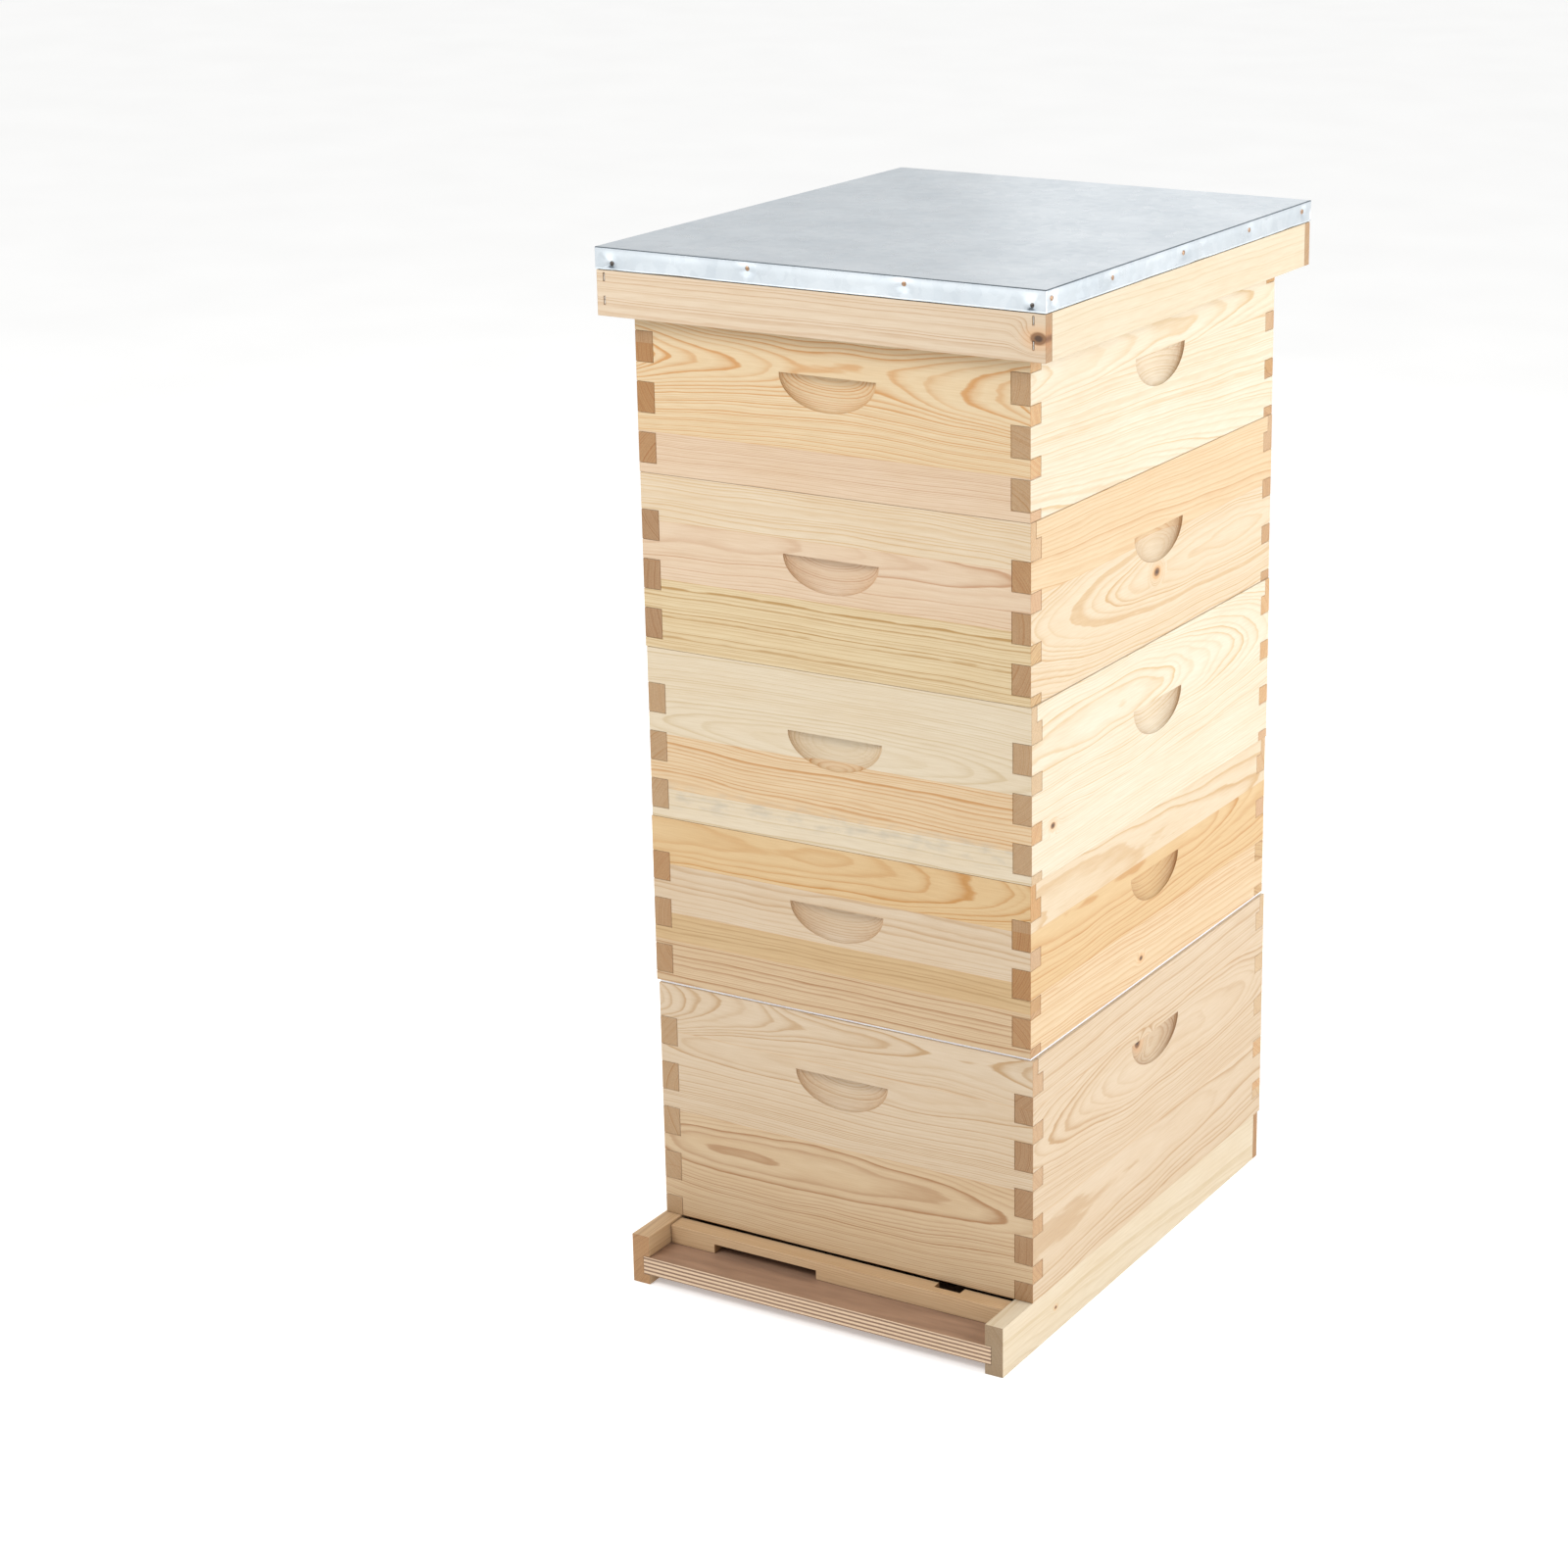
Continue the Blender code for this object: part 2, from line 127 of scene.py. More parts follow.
def grid_faces(
    rows: int, columns: int, closed_rows: bool = False, closed_columns: bool = False
) -> Array:
    """Quads of a rows by columns grid of points held in row order.

    Args:
        rows: number of rows of points.
        columns: number of points in a row.
        closed_rows: whether the last row joins the first.
        closed_columns: whether each row's end joins its start.

    Returns:
        An (m, 4) array of point indices.
    """
    i = np.arange(rows if closed_rows else rows - 1)[:, None]
    j = np.arange(columns if closed_columns else columns - 1)[None, :]
    i2 = (i + 1) % rows
    j2 = (j + 1) % columns
    corners = np.broadcast_arrays(i * columns + j, i * columns + j2, i2 * columns + j2, i2 * columns + j)
    return np.stack(corners, -1).reshape(-1, 4)


def cell_faces(solid: Array) -> Array:
    """Outward quads between the filled and the empty cells of a rectilinear grid.

    Along each axis a face stands wherever a cell and its neighbour differ, and it is wound so that
    it looks from the filled cell to the empty one. Points are numbered in X, Y, Z order.

    Args:
        solid: a three-axis array, true where a cell is filled.

    Returns:
        An (m, 4) array of indices into the grid's points.
    """
    sizes = np.array(solid.shape) + 1
    strides = np.array([sizes[1] * sizes[2], sizes[2], 1])
    padded = np.pad(solid, 1)
    found = []
    for axis in range(3):
        side, up = (axis + 1) % 3, (axis + 2) % 3
        inner = [slice(1, -1)] * 3
        low, high = list(inner), list(inner)
        low[axis], high[axis] = slice(0, -1), slice(1, None)
        before, after = padded[tuple(low)], padded[tuple(high)]
        for here, turned in ((before & ~after, False), (after & ~before, True)):
            start = np.argwhere(here) @ strides
            right, above = start + strides[side], start + strides[up]
            ring = [start, right, right + strides[up], above]
            found.append(np.stack(ring[::-1] if turned else ring, 1))
    return np.concatenate(found)


def cell_block(lines: tuple[Array, Array, Array], solid: Array) -> tuple[Array, Array]:
    """The closed surface of the filled cells between three sets of grid lines.

    Args:
        lines: the sorted grid lines along X, Y and Z, in metres.
        solid: true for each filled cell.

    Returns:
        The used points and the faces.
    """
    faces = cell_faces(solid)
    grid = np.stack(np.meshgrid(*lines, indexing="ij"), -1).reshape(-1, 3)
    used, faces = np.unique(faces, return_inverse=True)
    return grid[used], faces.reshape(-1, 4)


def middles(lines: Array) -> Array:
    """The middle of each cell between sorted grid lines."""
    return (lines[1:] + lines[:-1]) / 2


def cut_lines(*values: float) -> Array:
    """Sorted grid lines with near doubles, closer than a hundredth of a millimetre, dropped."""
    lines = np.sort(np.array(values, float))
    return lines[np.concatenate([[True], np.diff(lines) > NEAR])]


def brick(low: tuple, high: tuple, ease: float = 0.3 * MM) -> tuple[Array, Array]:
    """A box with its edges eased: each corner becomes three points, pulled in along one axis each.

    Args:
        low: lowest corner.
        high: highest corner.
        ease: how far the chamfer comes in.

    Returns:
        24 points and the 6 sides, 12 chamfers and 8 corners, each corner a quad with a doubled end
        that Surface.object turns into a triangle.
    """
    low, high = np.array(low, float), np.array(high, float)
    signs = np.array([[x, y, z] for x in (-1, 1) for y in (-1, 1) for z in (-1, 1)])
    corners = np.where(signs > 0, high, low)
    inward = -signs * ease
    points = np.stack([corners + inward * (1 - np.eye(3)[axis]) for axis in range(3)], 1)
    index = {tuple(sign): number for number, sign in enumerate(signs.tolist())}
    faces = []
    for axis in range(3):
        side, up = (axis + 1) % 3, (axis + 2) % 3
        for sign in (-1, 1):
            ring = []
            for a, b in ((-1, -1), (1, -1), (1, 1), (-1, 1)):
                corner = [0, 0, 0]
                corner[axis], corner[side], corner[up] = sign, a, b
                ring.append(index[tuple(corner)] * 3 + axis)
            faces.append(ring if sign > 0 else ring[::-1])
            for a in (-1, 1):
                ends = [[0, 0, 0], [0, 0, 0]]
                for end, b in zip(ends, (-1, 1)):
                    end[axis], end[side], end[up] = sign, a, b
                first, last = (index[tuple(end)] * 3 for end in ends)
                strip = [first + axis, first + side, last + side, last + axis]
                faces.append(strip if sign * a > 0 else strip[::-1])
    for number, sign in enumerate(signs.tolist()):
        corner = [number * 3, number * 3 + 1, number * 3 + 2]
        corner = corner if np.prod(sign) > 0 else corner[::-1]
        faces.append([*corner, corner[-1]])
    return points.reshape(-1, 3), np.array(faces)


def read(items: bpy.types.bpy_prop_collection, name: str, width: int, kind: type) -> Array:
    """Reads one value, or a row of them, from every item of a mesh.

    Args:
        items: its edges, loops or polygons.
        name: the value's name.
        width: how many numbers it has.
        kind: their type.

    Returns:
        An (n, width) array.
    """
    values = np.empty(len(items) * width, kind)
    items.foreach_get(name, values)
    return values.reshape(-1, width)


def ease_edges(obj: bpy.types.Object, width: float, keep: Array | None = None) -> None:
    """Rounds the edges between faces that meet at more than 60 degrees.

    Each edge of a closed mesh has two loops; sorting the loops by their edge puts the two faces of
    each edge side by side, and the dot product of their normals gives the angle.

    Args:
        obj: a closed mesh object.
        width: the rounding's width.
        keep: points (n bools) whose edges stay sharp.
    """
    mesh = obj.data
    edge_of_loop = read(mesh.loops, "edge_index", 1, np.int32).ravel()
    totals = read(mesh.polygons, "loop_total", 1, np.int32).ravel()
    face_of_loop = np.repeat(np.arange(len(totals)), totals)
    pairs = face_of_loop[np.argsort(edge_of_loop, kind="stable")].reshape(-1, 2)
    normals = read(mesh.polygons, "normal", 3, float)[pairs]
    weights = ((normals[:, 0] * normals[:, 1]).sum(1) < 0.5).astype(np.float32)
    if keep is not None:
        weights[keep[read(mesh.edges, "vertices", 2, np.int32)].any(1)] = 0.0
    layer = mesh.attributes.new("bevel_weight_edge", "FLOAT", "EDGE")
    layer.data.foreach_set("value", weights)
    bevel = obj.modifiers.new("eased edges", "BEVEL")
    bevel.limit_method = "WEIGHT"
    bevel.width = width
    bevel.segments = 2
    bevel.use_clamp_overlap = False


def smooth_by_angle(obj: bpy.types.Object, degrees: float) -> None:
    """Shades the mesh smooth and keeps the edges above the angle sharp."""
    obj.data.shade_smooth()
    obj.data.set_sharp_from_angle(angle=math.radians(degrees))


# --------------------------------------------------------------------------- placing


class Side(Enum):
    """Which way a board faces; the value is its turn about the vertical, in degrees."""

    FRONT = 0
    RIGHT = 90
    BACK = 180
    LEFT = -90


@dataclass(frozen=True)
class Place:
    """A board's own axes: u to the right seen from outside, w into the wood, v up.

    The origin is the middle of the outer face's lower edge.
    """

    origin: tuple[float, float, float]
    side: Side
    length: float
    thickness: float
    height: float

    @classmethod
    def of(cls, node: str, side: Side) -> "Place":
        """Reads the place of a packed board.

        Args:
            node: the board's node.
            side: which way it faces.

        Returns:
            Its place and its sizes along u, w and v.
        """
        low, high = (np.array(corner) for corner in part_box(node))
        middle = (low + high) / 2
        size = high - low
        origin = {
            Side.FRONT: (middle[0], low[1]),
            Side.RIGHT: (high[0], middle[1]),
            Side.BACK: (middle[0], high[1]),
            Side.LEFT: (low[0], middle[1]),
        }[side]
        along_x = side in (Side.FRONT, Side.BACK)
        length, thickness = (size[0], size[1]) if along_x else (size[1], size[0])
        return cls((float(origin[0]), float(origin[1]), float(low[2])), side, length, thickness, size[2])

    def world(self, points: Array) -> Array:
        """Turns (u, w, v) points into the frame's axes."""
        turn = math.radians(self.side.value)
        cos, sin = math.cos(turn), math.sin(turn)
        u, w, v = np.asarray(points).T
        return np.stack([u * cos - w * sin, u * sin + w * cos, v], 1) + np.array(self.origin)

    def mapping(self) -> tuple[tuple[float, float, float], float]:
        """The Mapping node's location, in millimetres, and turn that lead back to u, w and v."""
        turn = -math.radians(self.side.value)
        x, y, z = (value / MM for value in self.origin)
        cos, sin = math.cos(turn), math.sin(turn)
        return (-(x * cos - y * sin), -(x * sin + y * cos), -z), turn


# --------------------------------------------------------------------------- finishes


def colour(code: str) -> Colour:
    """Linear RGBA of an sRGB hex code: each channel is undone with the standard's two-part curve."""
    channels = np.array([int(code[i : i + 2], 16) for i in (1, 3, 5)]) / 255
    linear = np.where(channels <= 0.04045, channels / 12.92, ((channels + 0.055) / 1.055) ** 2.4)
    return (*(float(value) for value in linear), 1.0)


def add_node(
    tree: Tree, kind: str, links: dict | None = None, out: int | str = 0, **settings: str
) -> Socket:
    """Adds a node, sets it up and wires it.

    Args:
        tree: the node tree.
        kind: the node's type, without the ShaderNode that all of them start with.
        links: input name or number to a socket or a constant.
        out: the output that is returned.
        settings: properties of the node.

    Returns:
        The chosen output socket.
    """
    node = tree.nodes.new(f"ShaderNode{kind}")
    for name, value in settings.items():
        setattr(node, name, value)
    for name, value in (links or {}).items():
        if isinstance(value, bpy.types.NodeSocket):
            tree.links.new(value, node.inputs[name])
        else:
            node.inputs[name].default_value = value
    return node.outputs[out]


def new_material(name: str) -> tuple[bpy.types.Material, Tree, bpy.types.Node]:
    """Starts a node material.

    Args:
        name: what the real finish is and how it was made.

    Returns:
        The material, its tree and its Principled BSDF.
    """
    material = bpy.data.materials.new(name)
    material.use_nodes = True
    tree = material.node_tree
    return material, tree, tree.nodes["Principled BSDF"]


def maths(tree: Tree, operation: str, *values: Socket | float) -> Socket:
    """A sum of one, two or three values."""
    return add_node(tree, "Math", dict(enumerate(values)), operation=operation)


def mix(tree: Tree, amount: Socket, base: Socket, over: Socket | Colour, how: str = "MIX") -> Socket:
    """Lays a colour over another by an amount."""
    links = {0: amount, 6: base, 7: over}
    return add_node(tree, "Mix", links, out=2, data_type="RGBA", blend_type=how)


def remap(tree: Tree, value: Socket, *ends: float) -> Socket:
    """Stretches a value from its own low and high ends to two new ones, and stops there."""
    return add_node(tree, "MapRange", dict(enumerate((value, *ends))))


def in_millimetres(tree: Tree) -> Socket:
    """The place on the object in millimetres."""
    where = add_node(tree, "TexCoord", out="Object")
    return add_node(tree, "Mapping", {"Vector": where, "Scale": PER_MM})


def facing(tree: Tree) -> Sockets:
    """The three parts of the object's own surface normal."""
    normal = add_node(tree, "TexCoord", out="Normal")
    return tuple(add_node(tree, "SeparateXYZ", {0: normal}).node.outputs)


def set_stops(socket: Socket, stops: list[tuple[float, Colour]]) -> None:
    """Gives a colour ramp its stops.

    Args:
        socket: an output of the ramp.
        stops: position and colour, in order.
    """
    ramp = socket.node.color_ramp
    while len(ramp.elements) < len(stops):
        ramp.elements.new(0.5)
    for element, (position, value) in zip(ramp.elements, stops):
        element.position = position
        element.color = value


class Tint(Enum):
    """Early wood and late wood of a glued-up strip of pine, as sRGB hex."""

    CREAM = ("#cabaa1", "#b8986c")
    PALE = ("#c9bca5", "#b5a17e")
    WARM = ("#cab493", "#b38754")
    FLAME = ("#cbb897", "#b98a54")
    PINK = ("#c9b49b", "#ad8766")
    STRAW = ("#c8b693", "#a48350")
    OLIVE = ("#ba9f77", "#957443")
    HONEY = ("#c5aa80", "#ad7b3a")
    BLUSH = ("#c7b69f", "#ad8d6c")
    # Partly painted highlight: a paler, bluer tint for boards of the lit right face, standing in for its
    # washed-out highlight as well as the wood's own colour.
    IVORY = ("#d0c6b3", "#c0a780")
    SAND = ("#c2b098", "#a98a63")
    TAN = ("#bfa888", "#9a744d")
    BISCUIT = ("#c4a783", "#a3825e")


@dataclass(frozen=True)
class Strip:
    """One strip of a glued-up pine board, all in millimetres.

    Its growth rings are cylinders round a pith that lies heart above the board's lower edge and
    pith behind the outer face. The pith leans away by lean millimetres a millimetre of length
    and bows away by bow millimetres at 100 mm from middle, so that loops open or close on the face.
    The rings are ring apart, wander by wave, and show as boldly as bold says.
    """

    bottom: float
    tint: Tint
    heart: float
    pith: float
    lean: float = 0.0
    ring: float = 2.0
    wave: float = 3.0
    seed: float = 0.0
    bow: float = 0.0
    middle: float = 0.0
    bold: float = 0.8


@dataclass(frozen=True)
class Knot:
    """A knot at (u, v), in millimetres from the board's lower middle, of the given radius."""

    u: float
    v: float
    radius: float


@dataclass(frozen=True)
class PlanedPine:
    """Planed, unpainted pine: satin early wood, darker hard late wood, and brown end grain.

    The rings are a solid pattern, so faces, scooped handholds and end grain agree as in one board.
    """

    name: str
    place: Place
    strips: tuple[Strip, ...]
    knots: tuple[Knot, ...] = ()
    stain: tuple[float, float] | None = None
    upright: bool = False
    ends: str = "#d3bfa8"
    glue: str = "#b98f5f"
    blue: str = "#9a968c"
    knot_rings: tuple[tuple[float, float, float, str], ...] = (
        (2.6, 0.9, 0.45, "#c98d4e"),
        (1.15, 0.85, 0.9, "#76502f"),
        (0.65, 0.35, 0.85, "#3c281b"),
    )

    def make(self) -> bpy.types.Material:
        """Builds the material.

        Returns:
            A material that reads Object coordinates, turned to the board's own axes.
        """
        material, tree, shader = new_material(self.name)
        where = add_node(tree, "TexCoord", out="Object")
        location, turn = self.place.mapping()
        links = {"Vector": where, "Location": location, "Rotation": (0, 0, turn), "Scale": PER_MM}
        local = add_node(tree, "Mapping", links)
        if self.upright:
            local = self.stand_up(tree, local)
        axes = add_node(tree, "SeparateXYZ", {0: local}).node.outputs
        shape, growth, swell, early, late, seams = self.mix_strips(tree, axes[2])
        phase, bold = self.ring_phase(tree, local, axes, shape, growth, swell)
        dark, wood = self.ring_colour(tree, phase, bold, early, late)
        wood, fibre = self.add_fibre(tree, local, wood, growth)
        if self.stain:
            wood = self.add_stain(tree, local, axes[2], wood)
        for knot in self.knots:
            wood = self.add_knot(tree, axes, wood, knot)
        if seams is not None:
            wood = self.darken(tree, wood, seams, colour(self.glue), 0.35)
        wood = self.add_end_grain(tree, wood, local)
        tree.links.new(wood, shader.inputs["Base Color"])
        self.add_relief(tree, shader, dark, fibre)
        shader.inputs["IOR"].default_value = 1.5
        return material

    def stand_up(self, tree: Tree, local: Socket) -> Socket:
        """Turns the pattern so that the grain runs up the board instead of along it."""
        links = {"Vector": local, "Rotation": (0, math.pi / 2, 0)}
        return add_node(tree, "Mapping", links)

    def mix_strips(self, tree: Tree, up: Socket) -> Sockets:
        """Picks each strip's values by height: those above the first switch in at their glue lines.

        Args:
            tree: the node tree.
            up: the height above the board's lower edge.

        Returns:
            Sockets of the rings' shape, growth and swell, of the early and late wood's colours and
            of the glue lines.
        """
        first, *others = self.strips
        mixed = [add_node(tree, "CombineXYZ", dict(enumerate(values))) for values in self.vectors(first)]
        early, late = (colour(code) for code in first.tint.value)
        seams = None
        for strip in others:
            above = maths(tree, "GREATER_THAN", up, strip.bottom)
            nearby = {0: up, 1: strip.bottom, 2: 0.35}
            seam = add_node(tree, "Math", nearby, operation="COMPARE")
            links = {0: seam, 1: seams if seams is not None else 0.0}
            seams = add_node(tree, "Math", links, operation="MAXIMUM")
            for number, values in enumerate(self.vectors(strip)):
                links = {0: above, 4: mixed[number], 5: values}
                mixed[number] = add_node(tree, "Mix", links, out=1, data_type="VECTOR")
            codes = [colour(code) for code in strip.tint.value]
            early = mix(tree, above, early, codes[0])
            late = mix(tree, above, late, codes[1])
        return (*mixed, early, late, seams)

    def vectors(self, strip: Strip) -> tuple[tuple[float, float, float], ...]:
        """A strip's shape, growth and swell as three vectors."""
        return (
            (strip.heart, strip.pith, strip.lean),
            (strip.ring, strip.wave, strip.seed),
            (strip.bow, strip.middle, strip.bold),
        )

    def ring_phase(
        self, tree: Tree, local: Socket, axes: Sockets, shape: Socket, growth: Socket, swell: Socket
    ) -> Sockets:
        """Counts growth rings out from the pith.

        The distance is the root of (height off the heart)^2 + (pith - depth + lean * length + bow *
        (length - middle)^2)^2, with both terms pushed about by a slow noise drawn out along the
        grain, divided by the ring width.

        Args:
            tree: the node tree.
            local: the place in the board's axes, in millimetres.
            axes: its three parts.
            shape: heart, pith and lean.
            growth: ring width, wave and seed.
            swell: bow, middle and boldness.

        Returns:
            The ring count, whose whole part numbers the ring, and the boldness.
        """
        heart, pith, lean = add_node(tree, "SeparateXYZ", {0: shape}).node.outputs
        ring, wave, seed = add_node(tree, "SeparateXYZ", {0: growth}).node.outputs
        bow, middle, bold = add_node(tree, "SeparateXYZ", {0: swell}).node.outputs
        slow = add_node(tree, "Mapping", {"Vector": local, "Scale": (1 / 150, 1 / 60, 1 / 60)})
        links = {"Vector": slow, "W": seed, "Scale": 1.0, "Detail": 1.5, "Roughness": 0.4}
        drift = add_node(tree, "TexNoise", links, out="Color", noise_dimensions="4D")
        drift = add_node(tree, "VectorMath", {0: drift, 1: (0.5, 0.5, 0.5)}, operation="SUBTRACT")
        drift = add_node(tree, "VectorMath", {0: drift, "Scale": wave}, out=0, operation="SCALE")
        push = add_node(tree, "SeparateXYZ", {0: drift}).node.outputs
        deep = maths(tree, "MULTIPLY_ADD", axes[0], lean, pith)
        deep = maths(tree, "SUBTRACT", deep, axes[1])
        deep = maths(tree, "MULTIPLY_ADD", push[0], 2.0, deep)
        way = maths(tree, "SUBTRACT", axes[0], middle)
        way = maths(tree, "MULTIPLY", way, 0.01)
        way = maths(tree, "POWER", way, 2.0)
        deep = maths(tree, "MULTIPLY_ADD", way, bow, deep)
        off = maths(tree, "SUBTRACT", axes[2], heart)
        off = maths(tree, "MULTIPLY_ADD", push[1], 4.0, off)
        links = {0: add_node(tree, "CombineXYZ", {0: deep, 1: off})}
        radius = add_node(tree, "VectorMath", links, out="Value", operation="LENGTH")
        for knot in self.knots:
            radius = self.bend_round(tree, axes, radius, knot)
        uneven = maths(tree, "MULTIPLY_ADD", radius, 0.12, seed)
        uneven = add_node(tree, "TexNoise", {"W": uneven, "Scale": 1.0}, noise_dimensions="1D")
        quick = add_node(tree, "Mapping", {"Vector": local, "Scale": (1 / 45, 1 / 7, 1 / 7)})
        links = {"Vector": quick, "W": seed, "Scale": 1.0, "Detail": 2.0}
        ripple = add_node(tree, "TexNoise", links, noise_dimensions="4D")
        count = maths(tree, "DIVIDE", radius, ring)
        count = maths(tree, "MULTIPLY_ADD", uneven, 3.0, count)
        return maths(tree, "MULTIPLY_ADD", ripple, 0.5, count), bold

    def knot_distance(self, tree: Tree, axes: Sockets, knot: Knot) -> Socket:
        """Distance from a knot's middle, a third less along the grain than across it."""
        along = maths(tree, "SUBTRACT", axes[0], knot.u)
        along = maths(tree, "MULTIPLY", along, 0.7)
        across = maths(tree, "SUBTRACT", axes[2], knot.v)
        links = {0: add_node(tree, "CombineXYZ", {0: along, 1: across})}
        return add_node(tree, "VectorMath", links, out="Value", operation="LENGTH")

    def bend_round(self, tree: Tree, axes: Sockets, radius: Socket, knot: Knot) -> Socket:
        """Pushes the rings outwards near a knot, so that the grain flows round it."""
        away = self.knot_distance(tree, axes, knot)
        links = {0: away, 1: 0.0, 2: knot.radius * 4.5, 3: knot.radius * 2.2, 4: 0.0}
        bulge = add_node(tree, "MapRange", links, interpolation_type="SMOOTHERSTEP")
        return maths(tree, "ADD", radius, bulge)

    def ring_colour(
        self, tree: Tree, phase: Socket, bold: Socket, early: Socket, late: Socket
    ) -> Sockets:
        """Draws a ring: pale early wood that darkens slowly, then late wood that ends sharply.

        Args:
            tree: the node tree.
            phase: the ring count.
            bold: how strongly the late wood shows.
            early: early wood's colour.
            late: late wood's colour.

        Returns:
            How much late wood there is, and the wood's colour.
        """
        part = maths(tree, "FRACT", phase)
        grey = [(0.0, 0.12), (0.35, 0.06), (0.65, 0.4), (0.84, 1.0), (0.93, 0.9), (1.0, 0.12)]
        band = add_node(tree, "ValToRGB", {0: part})
        set_stops(band, [(position, (value,) * 3 + (1.0,)) for position, value in grey])
        number = maths(tree, "FLOOR", phase)
        lot = add_node(tree, "TexWhiteNoise", {"W": number}, noise_dimensions="1D")
        share = add_node(tree, "MapRange", {0: lot, 3: 0.2, 4: 1.25})
        share = maths(tree, "MULTIPLY", share, bold)
        dark = maths(tree, "MULTIPLY", band, share)
        wood = mix(tree, dark, early, late)
        return dark, wood

    def add_fibre(self, tree: Tree, local: Socket, wood: Socket, growth: Socket) -> Sockets:
        """Varies the wood by slow clouds, tens of millimetres long, and by fibres under 1 mm wide."""
        seed = add_node(tree, "SeparateXYZ", {0: growth}).node.outputs[2]
        cloud = add_node(tree, "Mapping", {"Vector": local, "Scale": (1 / 110, 1 / 22, 1 / 22)})
        links = {"Vector": cloud, "W": seed, "Scale": 1.0, "Detail": 3.0}
        cloud = add_node(tree, "TexNoise", links, noise_dimensions="4D")
        amount = remap(tree, cloud, 0.35, 0.7, 0.0, 0.45)
        wood = mix(tree, amount, wood, (0.93, 0.86, 0.76, 1.0), "MULTIPLY")
        thin = add_node(tree, "Mapping", {"Vector": local, "Scale": (1 / 30, 1 / 1.3, 1 / 1.3)})
        fibre = add_node(tree, "TexNoise", {"Vector": thin, "Scale": 1.0, "Detail": 2.0})
        amount = remap(tree, fibre, 0.35, 0.7, 0.0, 0.34)
        wood = mix(tree, amount, wood, (0.8, 0.72, 0.62, 1.0), "MULTIPLY")
        return wood, fibre

    def add_stain(self, tree: Tree, local: Socket, up: Socket, wood: Socket) -> Socket:
        """Lays patches of blue stain on a band of the board, given by its middle and half height."""
        middle, half = self.stain
        off = maths(tree, "SUBTRACT", up, middle)
        off = maths(tree, "ABSOLUTE", off)
        band = remap(tree, off, half, half * 0.3, 0.0, 1.0)
        slow = add_node(tree, "Mapping", {"Vector": local, "Scale": (1 / 24, 1 / 11, 1 / 9)})
        patch = add_node(tree, "TexNoise", {"Vector": slow, "Scale": 1.0, "Detail": 3.0})
        patch = remap(tree, patch, 0.47, 0.68, 0.0, 0.42)
        amount = maths(tree, "MULTIPLY", band, patch)
        return self.darken(tree, wood, amount, colour(self.blue), 1.0)

    def add_knot(self, tree: Tree, axes: Sockets, wood: Socket, knot: Knot) -> Socket:
        """Paints a knot: a red-brown disc with a dark rim that fades into the grain."""
        away = self.knot_distance(tree, axes, knot)
        for start, full, share, code in self.knot_rings:
            amount = remap(tree, away, knot.radius * start, knot.radius * full, 0.0, share)
            wood = self.darken(tree, wood, amount, colour(code), 1.0)
        return wood

    def darken(
        self, tree: Tree, wood: Socket, amount: Socket, towards: Colour, share: float
    ) -> Socket:
        """Mixes the wood towards a colour by an amount times a fixed share."""
        if share != 1.0:
            amount = maths(tree, "MULTIPLY", amount, share)
        return mix(tree, amount, wood, towards)

    def add_end_grain(self, tree: Tree, wood: Socket, local: Socket) -> Socket:
        """Browns the faces that cut across the grain, where open fibre ends drink the light.

        Sloping faces, above all a handhold's scoop, are darkened a little too, more on front and back
        boards than on side boards: painted shade.
        """
        parts = facing(tree)
        along_x = self.place.side in (Side.FRONT, Side.BACK)
        part = parts[2] if self.upright else parts[0 if along_x else 1]
        across = maths(tree, "ABSOLUTE", part)
        amount = remap(tree, across, 0.02, 0.7, 0.0, 1.0)
        # Painted shade: faces that slope from upright, such as the handhold's scoop, are darkened, by
        # 0.14 on front and back boards and 0.02 on side boards.
        tilt = maths(tree, "ABSOLUTE", parts[0 if self.upright else 2])
        tilt = remap(tree, tilt, 0.05, 0.4, 0.0, 0.14 if along_x else 0.02)
        lying = maths(tree, "ABSOLUTE", parts[2])
        lying = maths(tree, "LESS_THAN", lying, 0.95)
        amount = maths(tree, "MULTIPLY_ADD", tilt, lying, amount)
        pores = add_node(tree, "TexNoise", {"Vector": local, "Scale": 0.9, "Detail": 3.0})
        pores = remap(tree, pores, 0.35, 0.65, 0.92, 1.08)
        links = {0: colour(self.ends)[:3], "Scale": pores}
        brown = add_node(tree, "VectorMath", links, operation="SCALE")
        return mix(tree, amount, wood, brown, "MULTIPLY")

    def add_relief(
        self, tree: Tree, shader: bpy.types.Node, dark: Socket, fibre: Socket
    ) -> None:
        """Raises the hard late wood by a few hundredths of a millimetre and gives it more gloss."""
        height = maths(tree, "MULTIPLY_ADD", fibre, 0.5, dark)
        links = {"Strength": 0.35, "Distance": 0.06 * MM, "Height": height}
        bump = add_node(tree, "Bump", links)
        tree.links.new(bump, shader.inputs["Normal"])
        rough = add_node(tree, "MapRange", {0: dark, 3: 0.62, 4: 0.5})
        tree.links.new(rough, shader.inputs["Roughness"])


